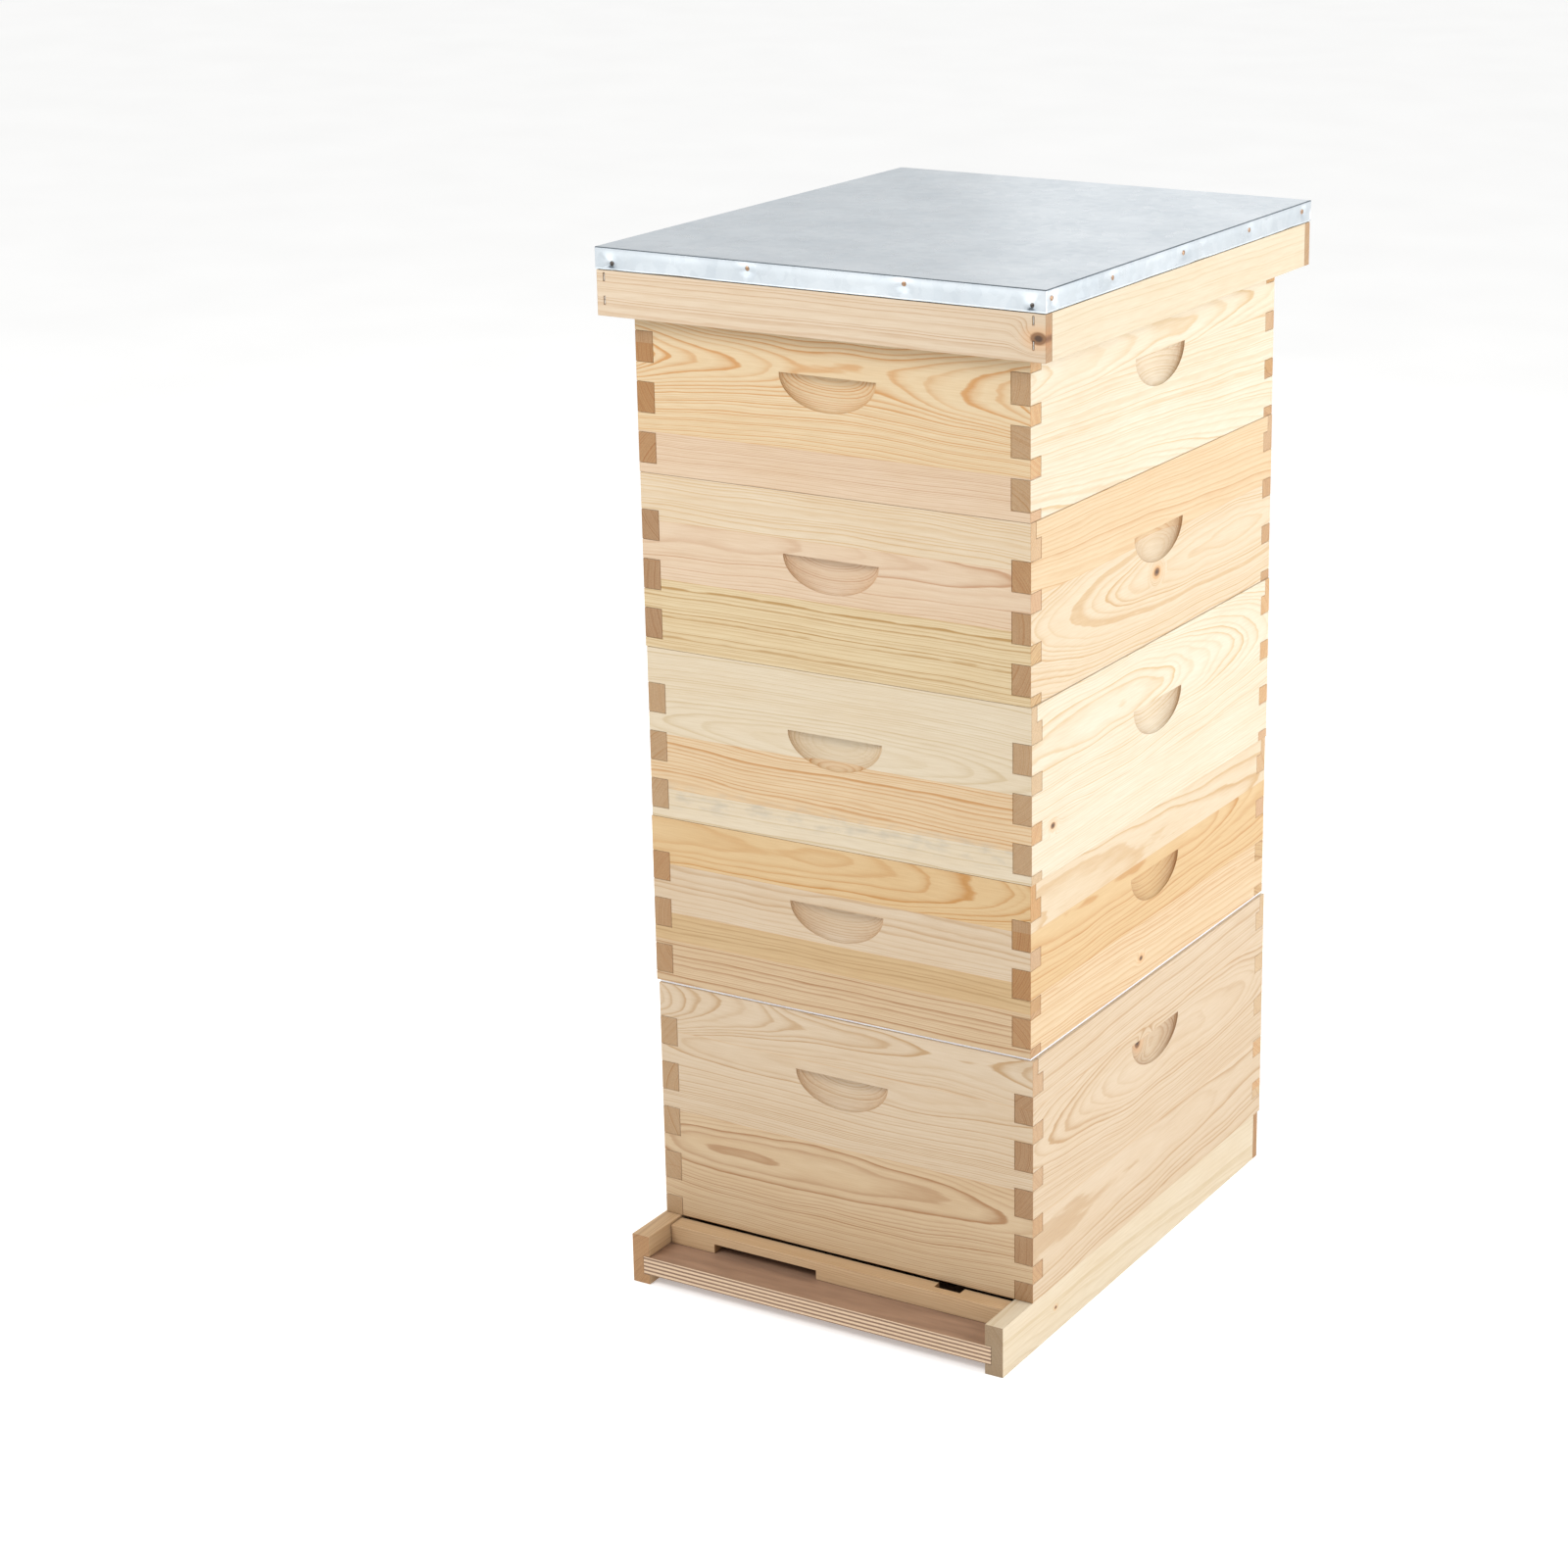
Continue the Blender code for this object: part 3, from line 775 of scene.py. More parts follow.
@dataclass(frozen=True)
class GalvanisedSheet:
    """Hot-dip galvanised steel: zinc frozen in flat crystals, each with its own tilt and gloss."""

    name: str = "hot-dip galvanised steel sheet"
    crystal: float = 9.0

    def make(self) -> bpy.types.Material:
        """Builds the material: Voronoi crystals about 9 mm across set the colour, gloss and relief.

        Along the fold the colour is painted dark grey, a painted shade line, and the fold is made
        rougher.
        """
        material, tree, shader = new_material(self.name)
        local = in_millimetres(tree)
        wander = add_node(tree, "TexNoise", {"Vector": local, "Scale": 0.12, "Detail": 2.0}, out="Color")
        links = {0: wander, 1: (6.0, 6.0, 6.0), 2: local}
        bent = add_node(tree, "VectorMath", links, operation="MULTIPLY_ADD")
        links = {"Vector": bent, "Scale": 1 / self.crystal}
        cell = add_node(tree, "TexVoronoi", links, out="Color")
        grey = add_node(tree, "SeparateColor", {0: cell}).node.outputs
        cloud = add_node(tree, "TexNoise", {"Vector": local, "Scale": 0.014, "Detail": 4.0})
        shade = maths(tree, "MULTIPLY_ADD", grey[0], 0.22, cloud)
        zinc = add_node(tree, "ValToRGB", {0: shade})
        set_stops(zinc, [(0.3, colour("#d3dce3")), (0.9, colour("#e8eff4"))])
        # Painted shade: faces that slope between the flat top and the upright skirt, the fold above all,
        # are mixed towards dark grey.
        upward = facing(tree)[2]
        bent = remap(tree, upward, 0.06, 0.35, 0.0, 0.85)
        flat = remap(tree, upward, 0.93, 0.99, 1.0, 0.0)
        fold = maths(tree, "MULTIPLY", bent, flat)
        zinc = mix(tree, fold, zinc, colour("#4a525a"))
        tree.links.new(zinc, shader.inputs["Base Color"])
        rough = add_node(tree, "MapRange", {0: grey[1], 3: 0.27, 4: 0.35})
        rough = maths(tree, "MULTIPLY_ADD", fold, 0.6, rough)
        tree.links.new(rough, shader.inputs["Roughness"])
        shader.inputs["Metallic"].default_value = 1.0
        scratch = add_node(tree, "Mapping", {"Vector": local, "Scale": (0.02, 1.2, 1.2)})
        scratch = add_node(tree, "TexNoise", {"Vector": scratch, "Scale": 1.0, "Detail": 3.0})
        height = maths(tree, "MULTIPLY_ADD", grey[2], 0.5, scratch)
        links = {"Strength": 0.05, "Distance": 0.1 * MM, "Height": height}
        tree.links.new(add_node(tree, "Bump", links), shader.inputs["Normal"])
        return material


@dataclass(frozen=True)
class FastenerMetal:
    """Drawn wire or a struck head: a plain metal with a film that dulls it in spots."""

    name: str
    bright: str
    dull: str
    roughness: float = 0.35

    def make(self) -> bpy.types.Material:
        """Builds the material: a noise, tenths of a millimetre wide, spots bright metal with dull."""
        material, tree, shader = new_material(self.name)
        where = add_node(tree, "TexCoord", out="Object")
        spot = add_node(tree, "TexNoise", {"Vector": where, "Scale": 900.0, "Detail": 2.0})
        metal = add_node(tree, "ValToRGB", {0: spot})
        set_stops(metal, [(0.35, colour(self.bright)), (0.7, colour(self.dull))])
        tree.links.new(metal, shader.inputs["Base Color"])
        rough = add_node(tree, "MapRange", {0: spot, 3: self.roughness, 4: self.roughness + 0.25})
        tree.links.new(rough, shader.inputs["Roughness"])
        shader.inputs["Metallic"].default_value = 1.0
        return material


@dataclass(frozen=True)
class FacedPlywood:
    """Film-faced plywood: a brown, slightly glossy face and edges striped by crossed veneers."""

    name: str
    bottom: float
    thickness: float
    face: str = "#9d7d66"
    streak: str = "#876a56"
    plies: int = 9

    def make(self) -> bpy.types.Material:
        """Builds the material: the height inside the sheet picks a ply, every second one end grain."""
        material, tree, shader = new_material(self.name)
        local = in_millimetres(tree)
        axes = add_node(tree, "SeparateXYZ", {0: local}).node.outputs
        start, ply = self.bottom / MM, self.thickness / MM / self.plies
        waver = add_node(tree, "TexNoise", {"Vector": local, "Scale": 0.03, "Detail": 2.0})
        height = maths(tree, "MULTIPLY_ADD", waver, 0.6, axes[2])
        height = maths(tree, "SUBTRACT", height, start + 0.3)
        count = maths(tree, "DIVIDE", height, ply)
        odd = maths(tree, "PINGPONG", count, 1.0)
        stripe = add_node(tree, "MapRange", {0: odd, 1: 0.35, 2: 0.65})
        speck = add_node(tree, "Mapping", {"Vector": local, "Scale": (0.25, 0.25, 1.5)})
        speck = add_node(tree, "TexNoise", {"Vector": speck, "Scale": 1.0, "Detail": 4.0})
        stripe = maths(tree, "MULTIPLY_ADD", speck, 0.5, stripe)
        edge = add_node(tree, "ValToRGB", {0: stripe})
        set_stops(edge, [(0.25, colour("#7d6350")), (1.0, colour("#cbb195"))])
        film = add_node(tree, "Mapping", {"Vector": local, "Scale": (1 / 60, 1 / 9, 1.0)})
        film = add_node(tree, "TexNoise", {"Vector": film, "Scale": 1.0, "Detail": 5.0})
        top = add_node(tree, "ValToRGB", {0: film})
        set_stops(top, [(0.3, colour(self.streak)), (0.7, colour(self.face))])
        upward = facing(tree)[2]
        flat = maths(tree, "ABSOLUTE", upward)
        flat = add_node(tree, "MapRange", {0: flat, 1: 0.5, 2: 0.9})
        mixed = mix(tree, flat, edge, top)
        tree.links.new(mixed, shader.inputs["Base Color"])
        rough = add_node(tree, "MapRange", {0: flat, 3: 0.8, 4: 0.42})
        tree.links.new(rough, shader.inputs["Roughness"])
        links = {"Strength": 0.3, "Distance": 0.1 * MM, "Height": film}
        tree.links.new(add_node(tree, "Bump", links), shader.inputs["Normal"])
        return material


@dataclass(frozen=True)
class MouldedPlastic:
    """Injection-moulded polypropylene: milky, waxy, with a faint orange-peel skin."""

    name: str
    body: str
    hollow: str
    cell: float = 0.0

    def make(self) -> bpy.types.Material:
        """Builds the material; where cell is set, its relief is a honeycomb of that many millimetres."""
        material, tree, shader = new_material(self.name)
        local = in_millimetres(tree)
        cloud = add_node(tree, "TexNoise", {"Vector": local, "Scale": 0.02, "Detail": 3.0})
        tint = add_node(tree, "ValToRGB", {0: cloud})
        set_stops(tint, [(0.3, colour(self.hollow)), (0.7, colour(self.body))])
        plastic = tint
        relief, depth = add_node(tree, "TexNoise", {"Vector": local, "Scale": 1.1}), 0.05
        if self.cell:
            relief, depth = self.honeycomb(tree, local), 0.6
            # Painted shade: the colour is darkened to 0.62 in the cell hollows and kept full on the
            # walls.
            shade = add_node(tree, "MapRange", {0: relief, 3: 0.62, 4: 1.0})
            links = {0: plastic, "Scale": shade}
            plastic = add_node(tree, "VectorMath", links, operation="SCALE")
        tree.links.new(plastic, shader.inputs["Base Color"])
        shader.inputs["Roughness"].default_value = 0.38
        shader.inputs["Subsurface Weight"].default_value = 0.08
        shader.inputs["Subsurface Radius"].default_value = (0.004, 0.003, 0.002)
        links = {"Strength": 0.5, "Distance": depth * MM, "Height": relief}
        tree.links.new(add_node(tree, "Bump", links), shader.inputs["Normal"])
        return material

    def honeycomb(self, tree: Tree, local: Socket) -> Socket:
        """Cell walls on a sheet that stands in Y and Z.

        Two rectangular lattices of cell middles, one shifted by half a cell each way, give a hexagonal
        lattice; the distance to the nearer middle, read as the larger of its three projections on the
        hexagon's axes, rises to a wall at half a cell.

        Args:
            tree: the node tree.
            local: place in millimetres.

        Returns:
            A height that is 1 on the walls and falls to 0 in the cells.
        """
        axes = add_node(tree, "SeparateXYZ", {0: local}).node.outputs
        pitch = (self.cell, self.cell * math.sqrt(3))
        nearest = None
        for shift in (0.0, 0.5):
            parts = []
            for axis, size in zip((axes[1], axes[2]), pitch):
                links = {0: axis, 1: 1 / size, 2: shift}
                turn = add_node(tree, "Math", links, operation="MULTIPLY_ADD")
                turn = maths(tree, "FRACT", turn)
                links = {0: turn, 1: size, 2: -size / 2}
                off = add_node(tree, "Math", links, operation="MULTIPLY_ADD")
                parts.append(maths(tree, "ABSOLUTE", off))
            slant = maths(tree, "MULTIPLY", parts[1], math.sqrt(3) / 2)
            slant = maths(tree, "MULTIPLY_ADD", parts[0], 0.5, slant)
            reach = maths(tree, "MAXIMUM", parts[0], slant)
            if nearest is None:
                nearest = reach
            else:
                nearest = maths(tree, "MINIMUM", nearest, reach)
        links = {0: nearest, 1: self.cell * 0.36, 2: self.cell * 0.5}
        return add_node(tree, "MapRange", links)


# --------------------------------------------------------------------------- wooden boxes


@dataclass(frozen=True)
class Joinery:
    """Sizes shared by all five boxes: finger joints, the rebate for frames, and the handholds.

    Handhold rows closer than row_gap to a step of the outline are dropped, and so are steps less
    than low_step above the lower edge.
    """

    board: float = 19.05 * MM
    top_tab: float = 35.0 * MM
    pitch: float = 47.5 * MM
    finger: float = 29.0 * MM
    rest_height: float = 16.0 * MM
    rest_width: float = 9.5 * MM
    grip_width: float = 102 * MM
    grip_height: float = 33 * MM
    grip_depth: float = 11 * MM
    grip_down: float = 59 * MM
    grip_columns: int = 25
    row_gap: float = 1.2 * MM
    low_step: float = 0.5 * MM

    def fingers(self, height: float) -> list[tuple[float, float]]:
        """Bottom and top of each side-board finger, from the top of a box down."""
        tops = np.arange(height - self.top_tab, 0, -self.pitch)
        return [(max(float(top) - self.finger, 0.0), float(top)) for top in tops]

    def grip_rows(self, height: float, steps: int = 16) -> Array:
        """Heights of the grid rows through a handhold, crowded towards its bottom like a sine.

        Args:
            height: the box's height.
            steps: rows between the ledge and the bottom.

        Returns:
            Rising heights, ending with the ledge and a row a hair above it.
        """
        top = height - self.grip_down
        rows = top - self.grip_height * np.sin(np.linspace(math.pi / 2, 0, steps + 1))
        return np.concatenate([rows, [top + 0.12 * MM]])

    def scoop(self, points: Array, height: float) -> Array:
        """Sinks the handhold, the lower half of an ellipsoid, into a board's outer face.

        With t the share of the way down, a row's half width is the ledge's times the root of
        1 - t^2, and the depth is the ledge's times the root of 1 - t^2 - s^2, s being the share of
        the ledge's half width. Points are drawn in so that the outermost column lies on the outline.

        Args:
            points: (n, 3) points as u, w and v.
            height: the box's height.

        Returns:
            The points, those of the handhold moved.
        """
        half = self.grip_width / 2
        top = height - self.grip_down
        u, w, v = points.T.copy()
        inside = (w < NEAR) & (np.abs(u) <= half + NEAR)
        inside &= (v >= top - self.grip_height - NEAR) & (v <= top + NEAR)
        down = np.clip((top - v) / self.grip_height, 0.0, 1.0)
        narrow = np.maximum(np.sqrt(1 - down**2), 0.02)
        side = np.sin(np.clip(u / half, -1, 1) * math.pi / 2)
        depth = self.grip_depth * np.sqrt(np.maximum(1 - down**2 - (side * narrow) ** 2, 0.0))
        u[inside], w[inside] = (side * narrow * half)[inside], depth[inside]
        return np.stack([u, w, v], 1)


@dataclass
class BoxBoard:
    """One finger-jointed board of a box, with its handhold."""

    node: str
    side: Side
    body: str
    strips: tuple[Strip, ...]
    knots: tuple[Knot, ...] = ()
    stain: tuple[float, float] | None = None
    joinery: Joinery = field(default_factory=Joinery)

    def lines(self, place: Place) -> tuple[Array, Array, Array]:
        """Grid lines along u, w and v through every step of the board's outline.

        Args:
            place: the board's place and size.

        Returns:
            The three sorted sets of lines.
        """
        cut = self.joinery
        half = place.length / 2
        shoulder = half - cut.board - GAP
        corner = shoulder + cut.rest_width
        columns = np.linspace(-cut.grip_width / 2, cut.grip_width / 2, cut.grip_columns)
        u = cut_lines(-half, half, -shoulder, shoulder, -corner, corner, *columns)
        w = cut_lines(0, cut.board - cut.rest_width, place.thickness)
        edges = np.array(cut.fingers(place.height)).ravel()
        steps = np.concatenate([edges - GAP / 2, edges + GAP / 2]).tolist()
        steps = [step for step in steps if cut.low_step < step < place.height]
        rest = place.height - cut.rest_height
        rows = cut.grip_rows(place.height)
        clear = np.abs(rows[:, None] - np.array(steps)).min(1) > cut.row_gap
        v = cut_lines(0, place.height, rest, rest + GAP, *steps, *rows[clear])
        return u, w, v

    def filled(self, place: Place, lines: tuple[Array, Array, Array]) -> Array:
        """Which cells hold wood: front and back boards have slots, side boards have fingers.

        Args:
            place: the board's place and size.
            lines: the grid lines.

        Returns:
            A boolean array, one value a cell.
        """
        cut = self.joinery
        u, w, v = np.meshgrid(*(middles(line) for line in lines), indexing="ij")
        half = place.length / 2
        shoulder = half - cut.board - GAP
        at_end = np.abs(u) > shoulder
        top = place.height
        wood = np.ones(u.shape, bool)
        if self.side in (Side.FRONT, Side.BACK):
            for low, high in cut.fingers(top):
                wood &= ~(at_end & (v > low - GAP / 2) & (v < high + GAP / 2))
            return wood & ~((w > cut.board - cut.rest_width) & (v > top - cut.rest_height))
        fingers = np.zeros(u.shape, bool)
        for low, high in cut.fingers(top):
            fingers |= (v > low + (GAP / 2 if low > 0 else -MM)) & (v < high - GAP / 2)
        corner = (np.abs(u) < shoulder + cut.rest_width) & (v > top - cut.rest_height + GAP)
        return wood & (~at_end | fingers | corner)

    def build(self) -> bpy.types.Object:
        """Makes the board, rounds its edges and hangs it on its body.

        Returns:
            The finished board.
        """
        place = Place.of(self.node, self.side)
        lines = self.lines(place)
        points, faces = cell_block(lines, self.filled(place, lines))
        points = self.joinery.scoop(points, place.height)
        # Painted highlight: the end grain of the front and back boards, seen on the right and left
        # faces, is painted paler to match the lit right face, and the side boards' end grain darker.
        ends = "#eddcca" if self.side in (Side.FRONT, Side.BACK) else "#cbb297"
        name = f"planed pine {self.node}"
        pine = PlanedPine(name, place, self.strips, self.knots, self.stain, ends=ends).make()
        obj = Surface().add(place.world(points), faces).object(f"{self.node}_board", [pine])
        grip = self.joinery.grip_width / 2 + 2 * MM
        ledge = place.height - self.joinery.grip_down
        near = (np.abs(points[:, 0]) < grip) & (np.abs(points[:, 1]) < place.thickness - MM)
        near &= (points[:, 2] < ledge + MM) & (points[:, 2] > ledge - self.joinery.grip_height - MM)
        ease_edges(obj, 0.45 * MM, near)
        smooth_by_angle(obj, 9)
        return hang(obj, self.body, [self.node])


def hang(obj: bpy.types.Object, body: str, nodes: list[str]) -> bpy.types.Object:
    """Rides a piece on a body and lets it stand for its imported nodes.

    Args:
        obj: the piece.
        body: the body it moves with.
        nodes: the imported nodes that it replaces.

    Returns:
        The piece.
    """
    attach(obj, body)
    if nodes:
        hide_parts(*nodes)
    LOG.info("%s on %s, %d faces", obj.name, body, len(obj.data.polygons))
    return obj


class Grain(Enum):
    """Strips of a glued-up board for each face of the hive, from the bottom up."""

    TOP_FRONT = (
        Strip(0, Tint.PINK, 150, 62, 0.0, 1.6, 3, 3.1, -0.6, 60, 0.75),
        Strip(40, Tint.FLAME, 114, 62, 0.0, 1.35, 4.5, 8.6, -2.2, 6, 1.3),
    )
    TOP_RIGHT = (
        Strip(0, Tint.IVORY, -24, 60, 0.06, 3.0, 3, 12.3, 0, 0, 0.9),
        Strip(104, Tint.IVORY, 128, 70, 0.02, 1.5, 3, 1.7, 0, 0, 0.9),
    )
    THIRD_FRONT = (
        Strip(0, Tint.STRAW, -70, 60, 0.012, 2.9, 2, 5.2, 0, 0, 1.1),
        Strip(68, Tint.PINK, 116, 80, 0.012, 1.35, 3, 9.4, 0, 0, 0.8),
        Strip(124, Tint.CREAM, 40, 160, 0.01, 2.2, 4, 2.8, 0, 0, 0.85),
    )
    THIRD_RIGHT = (
        Strip(0, Tint.CREAM, 66, 70, -0.02, 1.8, 4, 4.4, 1.2, 40, 0.95),
        Strip(100, Tint.WARM, 60, 90, 0.03, 2.6, 3, 7.7, 0, 0, 0.7),
    )
    SECOND_FRONT = (
        Strip(0, Tint.PALE, -60, 120, 0.0, 2.2, 2, 6.1, 0, 0, 0.8),
        Strip(30, Tint.WARM, -10, 80, 0.012, 2.3, 4, 8.8, 0, 0, 1.1),
        Strip(84, Tint.PALE, 98, 58, 0.0, 1.3, 2, 3.3, 0.9, 8, 0.8),
    )
    SECOND_RIGHT = (
        Strip(0, Tint.IVORY, 130, 110, 0.01, 1.8, 3, 9.9, 0, 0, 0.6),
        Strip(52, Tint.IVORY, 124, 60, 0.02, 1.7, 5, 0.9, 1.2, -60, 1.0),
    )
    FIRST_FRONT = (
        Strip(0, Tint.TAN, -80, 70, 0.0, 2.6, 2, 1.1, 0, 0, 1.0),
        Strip(44, Tint.OLIVE, -30, 90, 0.01, 3.0, 4, 5.9, 0, 0, 0.7),
        Strip(72, Tint.SAND, 130, 110, 0.0, 1.5, 3, 8.1, 0, 0, 0.6),
        Strip(122, Tint.HONEY, 158, 80, 0.012, 1.6, 5, 2.2, 0.9, -60, 0.95),
    )
    FIRST_RIGHT = (
        Strip(0, Tint.WARM, -40, 80, 0.02, 2.6, 3, 3.9, 0, 0, 1.0),
        Strip(58, Tint.HONEY, 120, 90, 0.01, 1.9, 4, 6.6, 0.5, 0, 0.9),
        Strip(122, Tint.CREAM, 130, 150, 0.01, 2.0, 3, 1.5, 0, 0, 0.8),
    )
    BROOD_FRONT = (
        Strip(0, Tint.TAN, 82, 66, 0.0, 1.45, 4, 7.3, 1.2, -20, 1.0),
        Strip(112, Tint.SAND, 190, 80, 0.0, 1.35, 3, 4.7, 0.6, 30, 0.85),
        Strip(196, Tint.SAND, 232, 60, 0.02, 1.7, 5, 0.4, -1.8, 40, 1.0),
    )
    BROOD_RIGHT = (
        Strip(0, Tint.SAND, 60, 150, 0.01, 2.2, 3, 8.3, 0, 0, 0.9),
        Strip(84, Tint.SAND, 160, 66, -0.03, 1.8, 5, 2.9, 1.3, -60, 1.0),
        Strip(196, Tint.SAND, 300, 90, 0.02, 2.2, 3, 5.5, 0, 0, 0.8),
    )


@dataclass
class Hive:
    """The five boxes, bottom to top, each with four boards."""

    tiers: tuple[tuple[str, str], ...] = (
        ("brood_box", "BROOD"),
        ("super_1", "FIRST"),
        ("super_2", "SECOND"),
        ("super_3", "THIRD"),
        ("super_4", "TOP"),
    )

    def build(self) -> None:
        """Builds every board; the back and left boards reuse another box's strips, reseeded."""
        for number, (name, grain) in enumerate(self.tiers):
            other = self.tiers[(number + 2) % len(self.tiers)][1]
            sides = {
                Side.FRONT: Grain[f"{grain}_FRONT"].value,
                Side.RIGHT: Grain[f"{grain}_RIGHT"].value,
                Side.BACK: self.reseeded(Grain[f"{other}_FRONT"].value, 20.0),
                Side.LEFT: self.reseeded(Grain[f"{other}_RIGHT"].value, 40.0),
            }
            for side, strips in sides.items():
                knots, stain = self.marks(name, side)
                node = f"{name}_{side.name.lower()}"
                BoxBoard(node, side, name, strips, knots, stain).build()

    def marks(self, name: str, side: Side) -> tuple[tuple[Knot, ...], tuple[float, float] | None]:
        """Knots and blue stain of the boards that have them."""
        knots = {
            ("super_3", Side.RIGHT): (Knot(-3.0, 66.0, 4.0),),
            ("super_2", Side.RIGHT): (Knot(-212.0, 46.0, 3.0),),
            ("super_1", Side.RIGHT): (Knot(-28.0, 22.0, 2.5),),
            ("brood_box", Side.RIGHT): (Knot(-20.0, 176.0, 5.0),),
        }
        stains = {("super_2", Side.FRONT): (24.0, 16.0)}
        return knots.get((name, side), ()), stains.get((name, side))

    def reseeded(self, strips: tuple[Strip, ...], offset: float) -> tuple[Strip, ...]:
        """The same strips cut from other trees: each seed is moved on by the offset."""
        return tuple(Strip(**{**vars(strip), "seed": strip.seed + offset}) for strip in strips)


# --------------------------------------------------------------------------- bars and boards


@dataclass(frozen=True)
class Cut:
    """A box sawn out of a bar, in the bar's own axes in millimetres; a None runs right through."""

    u: Span | None = None
    w: Span | None = None
    v: Span | None = None

    def spans(self) -> list[Span]:
        """The three spans in metres, an endless one where the cut runs through."""
        spans = (span or (-math.inf, math.inf) for span in (self.u, self.w, self.v))
        return [(low * MM, high * MM) for low, high in spans]


@dataclass
class Bar:
    """A sawn and planed bar with rebates, grooves and notches cut out of it."""

    node: str
    side: Side
    body: str
    strips: tuple[Strip, ...]
    cuts: tuple[Cut, ...] = ()
    knots: tuple[Knot, ...] = ()
    ease: float = 0.5
    slot: str = "pine"
    stem: str = "planed pine"
    ends: str = "#d3bfa8"

    def build(self) -> bpy.types.Object:
        """Saws the bar: of the grid through all the cuts' edges, the cells outside the cuts are wood.

        Returns:
            The finished bar.
        """
        place = Place.of(self.node, self.side)
        ends = ((-place.length / 2, place.length / 2), (0.0, place.thickness), (0.0, place.height))
        edges = [[*end] for end in ends]
        for cut in self.cuts:
            for axis, span in enumerate(cut.spans()):
                edges[axis] += [edge for edge in span if ends[axis][0] < edge < ends[axis][1]]
        lines = tuple(cut_lines(*values) for values in edges)
        u, w, v = np.meshgrid(*(middles(line) for line in lines), indexing="ij")
        wood = np.ones(u.shape, bool)
        for cut in self.cuts:
            inside = np.ones(u.shape, bool)
            for middle, (low, high) in zip((u, w, v), cut.spans()):
                inside &= (middle > low) & (middle < high)
            wood &= ~inside
        points, faces = cell_block(lines, wood)
        name = f"{self.stem} {self.node}"
        pine = PlanedPine(name, place, self.strips, self.knots, ends=self.ends).make()
        obj = Surface().add(place.world(points), faces).object(f"{self.node}_bar", [pine])
        ease_edges(obj, self.ease * MM)
        smooth_by_angle(obj, 25)
        return hang(obj, self.body, [self.node])


def stepped_ends(length: float, thickness: float, lip: float) -> tuple[Cut, Cut]:
    """The rebates at both ends of a board that laps over its neighbours.

    Args:
        length: the board's length in millimetres.
        thickness: its own and its neighbours' thickness.
        lip: what stays of the thickness.

    Returns:
        A cut for each end.
    """
    shoulder = length / 2 - thickness - GAP / MM
    step = (lip, thickness + 1)
    return Cut(u=(-length, -shoulder), w=step), Cut(u=(shoulder, length), w=step)


@dataclass
class BottomBoard:
    """Three grooved rails round a plywood floor, and the notched stick that narrows the entrance."""

    body: str = "bottom_board"
    thickness: float = 19.05
    lip: float = 9.5
    dado: float = 6.7
    groove: Span = (10.3, 29.3)
    width: float = 414.0
    wide_notch: Span = (-136.5, -20.0)
    small_notch: Span = (106.5, 134.5)
    notch: float = 9.5

    def build(self) -> None:
        """Builds the rails, the floor's finish and the reducer."""
        groove = Cut(w=(self.thickness - self.dado, self.thickness + 1), v=self.groove)
        strip = Strip(-10, Tint.BISCUIT, -40, 70, 0.02, 2.6, 3, 3.7)
        Bar("bottom_rail_left", Side.LEFT, self.body, (strip,), (groove,)).build()
        strip = Strip(-10, Tint.PALE, -20, 90, 0.02, 2.8, 3, 6.2, 0, 0, 0.5)
        knots = (Knot(-170, 26, 1.6),)
        name = "bottom_rail_right"
        Bar(name, Side.RIGHT, self.body, (strip,), (groove,), knots, ends="#b7a898").build()
        cuts = (groove, *stepped_ends(self.width, self.thickness, self.lip))
        strip = Strip(-10, Tint.BISCUIT, 70, 60, 0.02, 2.4, 3, 9.1)
        Bar("bottom_rail_back", Side.BACK, self.body, (strip,), cuts).build()
        low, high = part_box("floor_panel")
        floor = FacedPlywood("film-faced plywood", low.z, high.z - low.z).make()
        dress("floor_panel", floor)
        self.reducer()

    def reducer(self) -> None:
        """Saws the reducer: a low wide notch in front and a small one in the back."""
        cuts = (
            Cut(u=self.wide_notch, v=(-1, self.notch)),
            Cut(u=self.small_notch, w=(self.notch, 20)),
        )
        strip = Strip(-10, Tint.BISCUIT, -20, 40, 0.01, 1.8, 2, 5.3, 0, 0, 0.8)
        name = "entrance_reducer"
        Bar(name, Side.FRONT, name, (strip,), cuts, ease=0.35, stem="rough-sawn pine").build()


def dress(node: str, material: bpy.types.Material) -> None:
    """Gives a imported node, kept as it is, a finish.

    Args:
        node: its name.
        material: the finish.
    """
    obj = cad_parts[node]
    obj.data.materials.clear()
    obj.data.materials.append(material)
    LOG.info("%s dressed in %s", node, material.name)


@dataclass
class InnerCover:
    """A thin panel with an oblong bee hole, held in four grooved rims."""

    body: str = "inner_cover"
    width: float = 412.75
    thickness: float = 19.05
    lip: float = 9.5
    groove: Cut = Cut(w=(12.55, 20.0), v=(6.1, 13.05))

    def build(self) -> None:
        """Builds the rims and the panel's finish."""
        steps = stepped_ends(self.width, self.thickness, self.lip)
        for number, side in enumerate(Side):
            cuts = (self.groove, *steps) if side in (Side.FRONT, Side.BACK) else (self.groove,)
            strip = Strip(-10, Tint.CREAM, -20 - 9 * number, 60, 0.02, 3.4, 3, 13.1 + number)
            node = f"inner_cover_rim_{side.name.lower()}"
            Bar(node, side, self.body, (strip,), cuts, ease=0.4).build()
        low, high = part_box("inner_cover_panel")
        panel = FacedPlywood("birch plywood", low.z, high.z - low.z, "#cdb089", "#c1a27b", 5).make()
        dress("inner_cover_panel", panel)


# --------------------------------------------------------------------------- hanging frames


